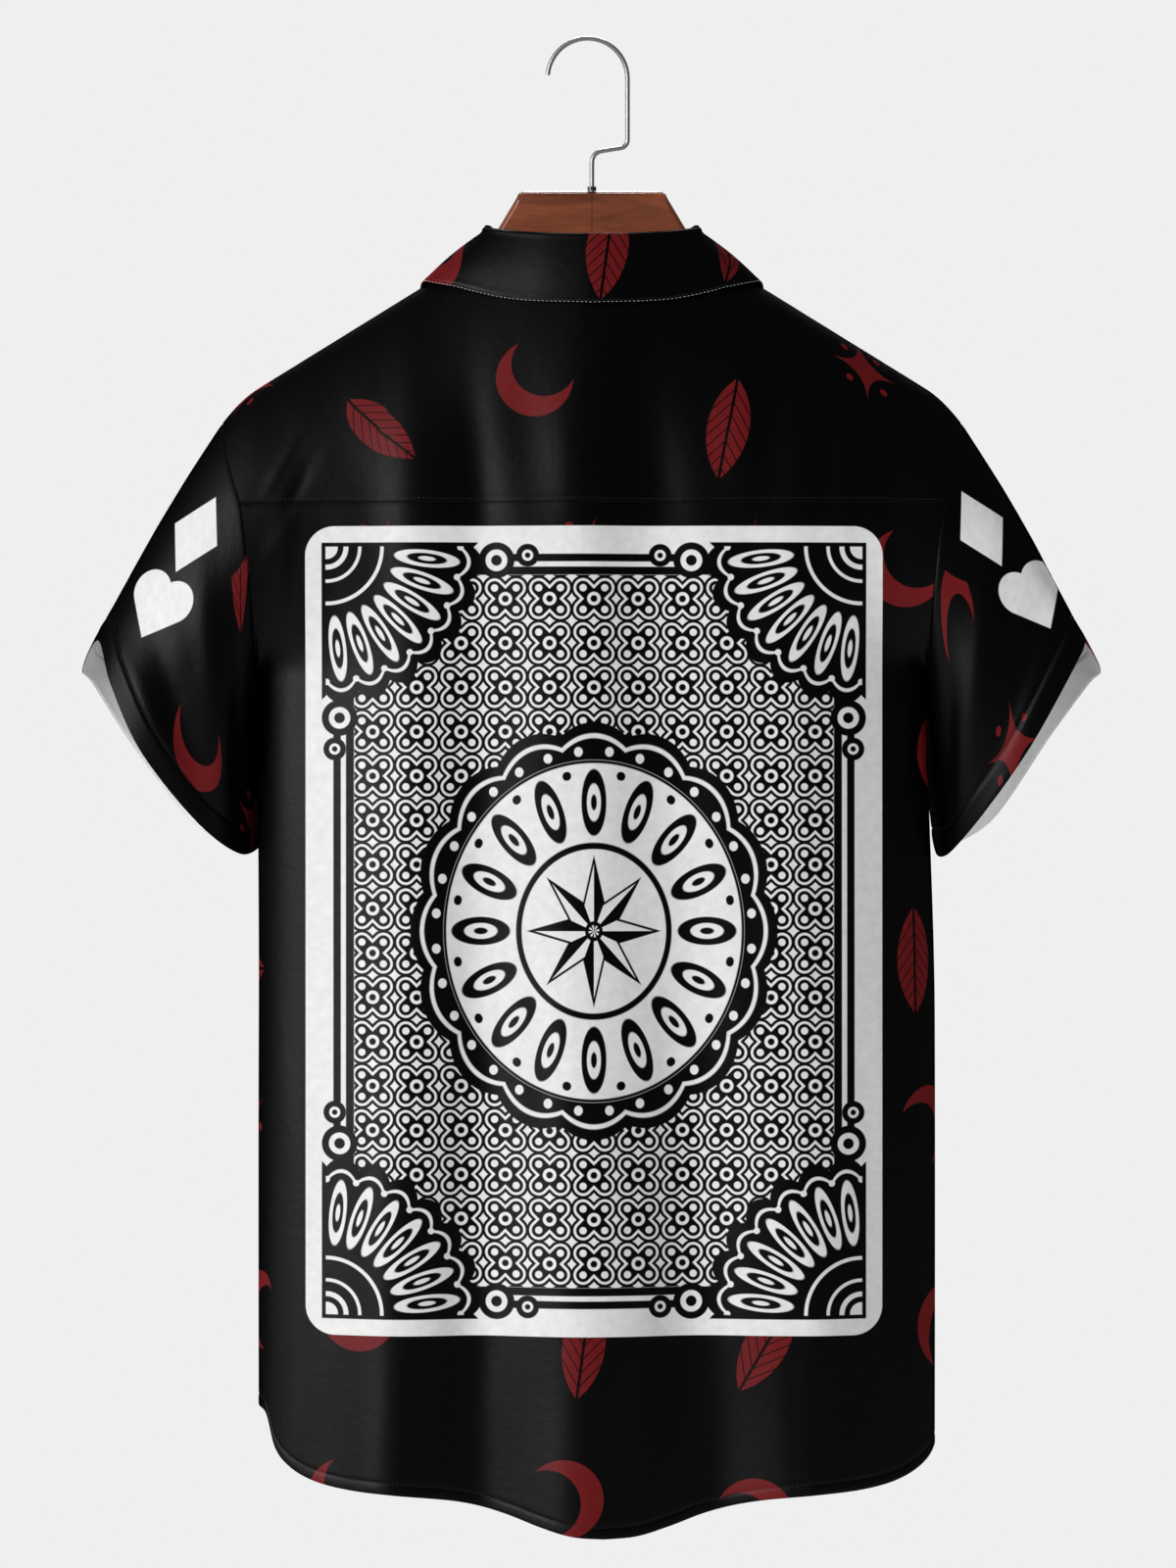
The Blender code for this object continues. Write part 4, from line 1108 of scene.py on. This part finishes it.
UNDERARM_CLOSE, UNDERARM_NEAR, UNDERARM_FRONT = 4.5, (208.0, 18.0), (5.0, 12.0)
SHOULDER_WAY = (0.87, 0.49)  # out and up, where the sleeve's top bulges
SLEEVE_ROWS, TIP_POINTS, ARMHOLE_POINTS = 40, 44, 34
SEAM_WALKS, SEAM_TO_BODY = (0.0, 1.0, 2.4), 5.0  # rows beside the armhole's seam
SLEEVE_SEAM_DIPS = (-0.6, -0.35, -0.1)
SEAM_TUCK, SEAM_TUCK_DIP = 2.4, 0.25
SLEEVE_HEM_UNDER, BODY_TO_HEM, SLEEVE_STITCH_LIFT = 1.1, 3.0, 0.35
SLEEVE_HEM_UPS = (20.0, 17.4, 16.7, 16.0, 15.2, 12.0, 8.0, 4.0, 1.5, 0.4, 0.0)  # the fourth row is stitched
SLEEVE_HEM_DIPS = (0.0, -0.05, -0.35, -0.95, 0.15, 0.5, 0.45, 0.3, 0.15, 0.0, -0.15)
SLEEVE_STITCH_ROW = -8
CREASE_FADES = (12.0, 9.0)  # from the armhole's seam and from the hem's edge


def armhole_ring(hand):
    """The body's armhole, from the armpit up the back, over the shoulder's tip and down the front."""
    up = ARMPIT + (YOKE_SEAM - ARMPIT) * np.concatenate([[0.0], armhole_share(ARMHOLE_POINTS)])
    behind = draped(hand * half_width(up), up, -1)
    low = -float(round_the_ridge(shoulder_line(half_width(np.array(YOKE_SEAM))) - YOKE_SEAM))
    over = np.linspace(low, FRONT_SEAM, TIP_POINTS + 2)[1:]
    tip = crest_draped(np.full(over.shape, float(hand)), over)
    down = ARMPIT + (float(front_top(np.array(1.0))) - ARMPIT) * armhole_share(ARMHOLE_POINTS)[-2::-1]
    ahead = draped(hand * half_width(down), down, 1)
    return tuple(np.concatenate(parts) for parts in zip(behind, tip, ahead))


def cuff_seats(points):
    """Where on the cuff, counted in rows of its table, each point of the armhole leads."""
    top = int(np.argmax(points[:, 2]))
    ring = np.concatenate([points, points[:1]])
    walked = np.concatenate([[0.0], np.cumsum(np.linalg.norm(np.diff(ring, axis=0), axis=1))])
    up = walked[: top + 1] / walked[top]
    down = (walked[top + 1 : -1] - walked[top]) / (walked[-1] - walked[top])
    return np.concatenate([UNDERARM_AT * (1 - up), between(len(LEFT_CUFF), UNDERARM_AT, down)])


def cuff_point(cuff, hand, at):
    place = math.floor(at)
    rows = [cuff[(place + step) % len(cuff)] for step in (-1, 0, 1, 2)]
    before, start, end, after = (np.array([hand * row.out, row.depth, row.height]) for row in rows)
    return hermite(start, end, (end - before) / 2, (after - start) / 2, at - place)


def ring_outward(points, middles):
    """Outward directions of a closed sleeve's points, away from its middle line."""
    around = np.roll(points, -1, axis=0) - np.roll(points, 1, axis=0)
    along = np.gradient(points, axis=1)
    outward = normalised(np.cross(around, along))
    facing = np.sign(np.sum(outward * (points - middles), axis=-1, keepdims=True))
    return outward * facing


def sleeve(name, node, hand, cuff, creases, finish):
    """One sleeve from the body's armhole to its cuff; hand is -1 on the wearer's left."""
    ring = armhole_ring(hand)[0]
    roots = ring + np.array([hand * SLEEVE_CLEAR, 0.0, 0.0])
    ends = np.array([cuff_point(cuff, hand, seat) for seat in cuff_seats(ring)])
    long = np.linalg.norm(ends - roots, axis=1)[:, None]
    first, last = np.array(SEAM_WALKS), np.array(SLEEVE_HEM_UPS)
    body = (long - SEAM_TO_BODY - last[0] - BODY_TO_HEM) * np.arange(SLEEVE_ROWS + 1) / SLEEVE_ROWS
    walked = np.concatenate([first + 0 * long, SEAM_TO_BODY + body, long - last], axis=1)
    part = (walked / long)[..., None]
    points = roots[:, None] + (ends - roots)[:, None] * part
    middles = points.mean(axis=0)
    outward = ring_outward(points, middles)
    top_way = np.array([hand * SHOULDER_WAY[0], 0.0, SHOULDER_WAY[1]])
    bulge = SLEEVE_BULGE * np.sin(np.pi * part) * np.maximum(0.0, outward @ top_way)[..., None]
    points = points + outward * bulge
    rise = np.zeros(points.shape[:2])
    for crease in creases:
        seen = points[..., 1] * crease.side > 0
        rise = rise + seen * crease_height(crease, points[..., 0] * hand, points[..., 2])
    near_body = 1 - eased((np.abs(points[..., 0]) - UNDERARM_NEAR[0]) / UNDERARM_NEAR[1])
    in_front = eased((points[..., 1] - UNDERARM_FRONT[0]) / UNDERARM_FRONT[1])
    points[..., 0] -= hand * UNDERARM_CLOSE * near_body * in_front * np.sin(np.pi * part[..., 0]) ** 0.5
    fade = eased(walked / CREASE_FADES[0]) * eased((long - walked) / CREASE_FADES[1])
    dips = np.concatenate([SLEEVE_SEAM_DIPS, np.zeros(SLEEVE_ROWS + 1), SLEEVE_HEM_DIPS])
    outward = ring_outward(points, middles)
    points = points + outward * (rise * fade + dips)[..., None]
    outward = ring_outward(points, middles)
    tucked = points[:, :1] - np.array([hand * SEAM_TUCK, 0.0, 0.0]) - outward[:, :1] * SEAM_TUCK_DIP
    stitched = outward[:, SLEEVE_STITCH_ROW]
    hem = points[:, SLEEVE_STITCH_ROW] + stitched * SLEEVE_STITCH_LIFT, stitched
    inwards = slice(-2, SLEEVE_STITCH_ROW, -1)
    turned = points[:, inwards] - outward[:, inwards] * SLEEVE_HEM_UNDER
    bend = points[:, -1:] - outward[:, -1:] * SLEEVE_HEM_UNDER / 2
    grid = np.concatenate([tucked, points, bend, turned], axis=1)
    grid = np.concatenate([grid, grid[:1]])[:, ::-1]
    pale = turned.shape[1] + 1
    flat = flat_places(grid, int(np.argmax(ring[:, 2])), grid.shape[1] - 1, 0.0)
    piece = cut_cloth(name, grid, flat, CLOTH_THICK, (finish, inner_cloth), faces_in=hand < 0, pale_rows=pale)
    stitches = sewn(name + "_stitches", [[np.concatenate([values, values[:1]]) for values in hem]])
    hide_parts(node)

SleeveCrease = namedtuple("SleeveCrease", "side x z length width lean rise")
LEFT_CREASES = (
    SleeveCrease(-1, 232, -400, 70, 9, 0.10, 3.0),
    SleeveCrease(-1, 252, -420, 60, 9, 0.28, -3.0),
    SleeveCrease(-1, 272, -410, 40, 8, 0.45, 2.2),
    SleeveCrease(-1, 216, -430, 60, 6, 0.0, -2.5),
    SleeveCrease(1, 230, -400, 70, 9, -0.1, -3.0),
    SleeveCrease(1, 256, -410, 70, 10, -0.3, 3.0),
)
RIGHT_CREASES = (
    SleeveCrease(-1, 234, -396, 70, 9, 0.12, 2.6),
    SleeveCrease(-1, 256, -410, 60, 9, 0.3, -2.6),
    SleeveCrease(-1, 218, -430, 60, 6, 0.0, -2.2),
    SleeveCrease(1, 230, -400, 70, 9, -0.1, -3.0),
    SleeveCrease(1, 256, -410, 70, 10, -0.3, 3.0),
)


def heart_ink(x, y, turn, wide, tall):
    """A heart, its point along -y once turned: a square on its corner, with a round on each upper side."""
    x, y = turned_place(x, y, turn)
    size = tall / (1.5 * math.sqrt(2) + 1)
    off, corner = size / math.sqrt(2), size * math.sqrt(2)
    x, y = abs(x) * (2 * (off + size) / wide), y + (off + size - corner) / 2
    return reach_of(x - off, y - off).within(size).most((x + abs(y)).within(corner, edge=2 * INK_EDGE))


def diamond_ink(x, y, turn, wide, tall):
    x, y = turned_place(x, y, turn)
    return (abs(x) * (1 / wide) + abs(y) * (1 / tall)).within(1.0, edge=0.03)


Pips = namedtuple("Pips", "heart diamond turn")
LEFT_PIPS = Pips((-265.8, -349.0), (-242.5, -304.5), math.radians(-28))
RIGHT_PIPS = Pips((270.8, -343.5), (238.5, -301.0), math.radians(28))
HEART, DIAMOND = (38.0, 42.0), (15.0, 26.0)  # width and height; the diamond's are halved
PIP_CLEAR = 34.0
PIP_ROUND_FROM, PIP_ROUND = 15.0, 0.8
PIP_BEHIND = -2.0


def sleeve_print(name, pips, hand, start):
    """A sleeve's cloth: the scattered motifs, and on its back side a white heart below a white diamond."""
    turn = math.cos(pips.turn), math.sin(pips.turn)
    marks = pips.heart, pips.diamond

    def placed(nodes):
        """The places from the middle of each pip as the cloth hangs, taken round the sleeve's outer side."""
        place = nodes.new("ShaderNodeTexCoord").outputs["Object"]
        parts = gave(nodes, "ShaderNodeSeparateXYZ", Vector=place)
        x, ahead, height = (Ink(parts.outputs[axis]) * (1 / MM) for axis in "XYZ")
        round_side = (ahead + PIP_ROUND_FROM).most(0.0) * (hand * PIP_ROUND)
        x, height = x + round_side * turn[0], height + round_side * turn[1]
        return [(x - mark[0], height - mark[1]) for mark in marks], ahead.within(PIP_BEHIND)

    def inks(across, along):
        (heart, diamond), behind = placed(across.socket.id_data.nodes)
        near = reach_of(*heart).within(PIP_CLEAR).most(reach_of(*diamond).within(PIP_CLEAR)).least(behind)
        white = heart_ink(*heart, turn, *HEART).most(diamond_ink(*diamond, turn, *DIAMOND)).least(behind)
        return tossed_ink(across, along, start).least(1.0 - near), white

    return printed_cloth(name, inks)


left_print = sleeve_print("printed_left", LEFT_PIPS, -1, 3.1)
sleeve("sleeve_left_cloth", "sleeve_left", -1, LEFT_CUFF, LEFT_CREASES, left_print)
right_print = sleeve_print("printed_right", RIGHT_PIPS, 1, 4.2)
sleeve("sleeve_right_cloth", "sleeve_right", 1, RIGHT_CUFF, RIGHT_CREASES, right_print)


# ---- The collar ----
# Two layers of the cloth, stiffened between them: a low stand that rises inside the neckline, a soft fold,
# and a fall that lies over the yoke and the fronts down to its stitched edge, where a pale thread just shows.
Collar = namedtuple("Collar", "angle lean rise turn edge_x edge_over")
COLLAR = (
    Collar(0, 2.0, 27.0, 2.6, 0, -86.7),
    Collar(35, 4.0, 26.5, 2.6, 49, -53.0),
    Collar(60, 8.5, 24.5, 2.6, 79, -27.0),
    Collar(90, 14.7, 19.0, 2.4, 103, 0.0),
    Collar(120, 9.0, 19.0, 2.8, 100, 32.5),
    Collar(150, 3.0, 20.0, 3.2, 76, 91.5),
    Collar(172, 0.0, 20.0, 3.2, 44, 157.7),
)
COLLAR_END, COLLAR_COLUMNS = 172.0, 66
COLLAR_THICK, COLLAR_CLEAR, COLLAR_ARCH = 1.3, 2.9, 1.5
STAND_IN, STAND_BELOW = 1.1, 2.0
STAND_ROWS, TURN_ROWS = 5, 10
FALL_SHARES = (0.06, 0.13, 0.2, 0.28, 0.36, 0.44, 0.52, 0.6, 0.68, 0.76, 0.83)
FALL_ENDS = (5.0, 3.4, 2.2, 1.6, 1.0, 0.3, 0.0)  # rows before the fall's edge, the fourth of them stitched
FALL_DIPS = (0.0, 0.1, 0.12, -0.2, 0.05, -0.1, -0.3)
COLLAR_STITCH_ROW, COLLAR_EDGING_ROW = -4, -2


def neck_outward(angle):
    """The level direction straight out from the neckline."""
    x0, z0, side0 = neckline(np.array([angle - 0.01]))
    x1, z1, side1 = neckline(np.array([angle + 0.01]))
    along = (draped(x1, z1, side1)[0] - draped(x0, z0, side0)[0])[0]
    return normalised(np.array([along[1], -along[0], 0.0]))


def collar_column(angle):
    """Points from inside the neck, up the stand, round the fold and down the fall, at an angle in degrees."""
    lean, rise, turn, edge_x, edge_over = smooth_table(COLLAR, abs(angle))
    bend = math.radians(abs(angle))
    x, z, side = neckline(np.array([bend]))
    neck = draped(x, z, side)[0][0]
    out, upward = neck_outward(bend), np.array([0.0, 0.0, 1.0])
    foot = neck - out * STAND_IN - upward * STAND_BELOW
    centre = neck - out * lean + upward * rise
    column = [foot + (centre - out * turn - foot) * step / STAND_ROWS for step in range(STAND_ROWS)]
    for step in range(TURN_ROWS + 1):
        swing = math.pi * step / TURN_ROWS
        column.append(centre + turn * (upward * math.sin(swing) - out * math.cos(swing)))
    start = column[-1]
    if edge_over < 0:
        edge_over = -round_the_ridge(below_ridge(edge_over) - ridge_drop(edge_x))
    at = np.array([edge_x / SHOULDER_HALF]), np.array([edge_over])
    edge, edge_out = (found[0] for found in crest_draped(*at))
    edge = edge + edge_out * COLLAR_CLEAR
    long = np.linalg.norm(edge - start)
    shares = [*FALL_SHARES, *(1 - end / long for end in FALL_ENDS)]
    dips = [0.0] * len(FALL_SHARES) + list(FALL_DIPS)
    for share, dip in zip(shares, dips):
        arch = COLLAR_ARCH * math.sin(math.pi * share)
        column.append(start + (edge - start) * share + edge_out * (arch + dip))
    column = np.array(column)
    column[:, 0] *= -1 if angle < 0 else 1
    return column


angles = np.linspace(-COLLAR_END, COLLAR_END, 2 * COLLAR_COLUMNS + 1)
points = np.array([collar_column(angle) for angle in angles])
around, along = np.gradient(points, axis=0), np.gradient(points, axis=1)
outward = normalised(-np.cross(around, along))
flat = flat_places(points, COLLAR_COLUMNS, 0, -100.0)
collar_print = printed_cloth("printed_collar", tossed(4.24))
collar = cut_cloth("collar_cloth", points, flat, COLLAR_THICK, (collar_print, collar_print), faces_in=True)
stitched, edged = ((points[:, row], outward[:, row]) for row in (COLLAR_STITCH_ROW, COLLAR_EDGING_ROW))
collar_stitches = sewn("collar_stitches", [stitched])
collar_edging = sewn("collar_edging", [edged], thread=new_thread("pale_thread", 0.30, 0.62))
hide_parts("collar")


# ---- The buttons ----
# Seven moulded buttons down the middle, with a round rim, a dished face and four holes. Each is sewn on
# through the holes with two bars of thread, over an upright stitched buttonhole.
BUTTON_DISH, BUTTON_THICK, BUTTON_CLEAR = 4.1, 2.5, 0.4
PLATE_TOP, PLATE_THICK = 0.5, 1.7
QUARTER_TURNS = (0.39, 0.785, 1.18)  # of the corners on a quarter's round side
HOLE_OFF, HOLE_RADIUS = 1.15, 0.62
RIM_PROFILE = (
    (4.0, 0.55),
    (4.35, 1.0),
    (4.9, 1.25),
    (5.4, 1.1),
    (5.7, 0.5),
    (5.75, -0.2),
    (5.45, -0.9),
    (4.6, -1.25),
    (4.0, -1.25),
)
STRANDS, STRAND_UP = (-0.22, 0.0, 0.22), 0.62
STRAND_HALVES = (0.16, HOLE_OFF + 0.3, 0.26, 1)
SHARP_EDGE = math.radians(50)

button_plastic, nodes, shader = new_finish("black_button")
place = nodes.new("ShaderNodeTexCoord").outputs["Object"]
swirl = gave(nodes, "ShaderNodeTexNoise", Vector=place, Scale=320.0, Detail=3.0, Distortion=1.5)
shade = toned(nodes, swirl, (0.008, 0.008, 0.009, 1.0), (0.045, 0.045, 0.047, 1.0))
dressed(shader, Base_Color=shade, Roughness=0.28)


def ringed(form, spots):
    """(vertices, edges) of a closed line through some spots."""
    verts = [form.verts.new(spot) for spot in spots]
    return verts, [form.edges.new(pair) for pair in zip(verts, verts[1:] + verts[:1])]


def button_form():
    """A button at the origin, facing up: a plate of four quarters with a hole in each, and a rim round it."""
    form = bmesh.new()
    for quarter in range(4):
        spots = [Vector((BUTTON_DISH * step / 3, 0, 0)) for step in range(4)]
        spots += [BUTTON_DISH * Vector((math.cos(turn), math.sin(turn), 0)) for turn in QUARTER_TURNS]
        spots += [Vector((0, BUTTON_DISH * step / 3, 0)) for step in (3, 2, 1)]
        verts, edges = ringed(form, spots)
        circle = bmesh.ops.create_circle(form, cap_ends=False, segments=len(verts), radius=HOLE_RADIUS)
        hole = circle["verts"]
        bmesh.ops.rotate(form, verts=hole, matrix=Matrix.Rotation(math.radians(225), 3, "Z"))
        bmesh.ops.translate(form, verts=hole, vec=(HOLE_OFF, HOLE_OFF, 0))
        edges += dict.fromkeys(edge for vert in hole for edge in vert.link_edges)
        bmesh.ops.bridge_loops(form, edges=edges)
        bmesh.ops.rotate(form, verts=verts + hole, matrix=Matrix.Rotation(math.pi / 2 * quarter, 3, "Z"))
    bmesh.ops.remove_doubles(form, verts=form.verts, dist=SAME_SPOT)
    bmesh.ops.translate(form, verts=form.verts, vec=(0, 0, PLATE_TOP))
    grown = bmesh.ops.extrude_face_region(form, geom=form.faces[:], use_keep_orig=True)
    low = [part for part in grown["geom"] if isinstance(part, bmesh.types.BMVert)]
    bmesh.ops.translate(form, verts=low, vec=(0, 0, -PLATE_THICK))
    bmesh.ops.recalc_face_normals(form, faces=form.faces)
    rim = bmesh.new()
    verts, edges = ringed(rim, [(out, 0, up) for out, up in RIM_PROFILE])
    turn = {"axis": (0, 0, 1), "cent": (0, 0, 0), "angle": 2 * math.pi, "steps": 32, "use_merge": True}
    bmesh.ops.spin(rim, geom=verts + edges, **turn)
    bmesh.ops.recalc_face_normals(rim, faces=rim.faces)
    mesh = bpy.data.meshes.new("rim")
    rim.to_mesh(mesh)
    rim.free()
    form.from_mesh(mesh)
    bpy.data.meshes.remove(mesh)
    for face in form.faces:
        face.smooth = True
    return form


for number, height in enumerate(BUTTON_HEIGHTS, start=1):
    spot, out = (Vector(found[0]) for found in draped(np.array([0.0]), np.array([float(height)]), 1))
    seat = spot + Vector((0, LIFT, 0))
    turn = out.to_track_quat("Z", "Y").to_matrix()
    form = button_form()
    for side in (-1, 1):
        for strand in STRANDS:
            bar = Matrix.Diagonal(STRAND_HALVES)
            bar.translation = (side * HOLE_OFF + strand, 0, STRAND_UP)
            made = bmesh.ops.create_icosphere(form, subdivisions=2, radius=1.0, matrix=bar)["verts"]
            for face in {face for vert in made for face in vert.link_faces}:
                face.material_index = 1
                face.smooth = True
    bmesh.ops.rotate(form, verts=form.verts, matrix=turn)
    bmesh.ops.translate(form, verts=form.verts, vec=seat + out * (BUTTON_CLEAR + BUTTON_THICK / 2))
    bmesh.ops.scale(form, vec=(MM, MM, MM), verts=form.verts)
    piece = built(f"shirt_button_{number}", form, (button_plastic, black_thread))
    piece.data.set_sharp_from_angle(angle=SHARP_EDGE)
    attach(piece, "root")
    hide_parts(f"button_{number}")
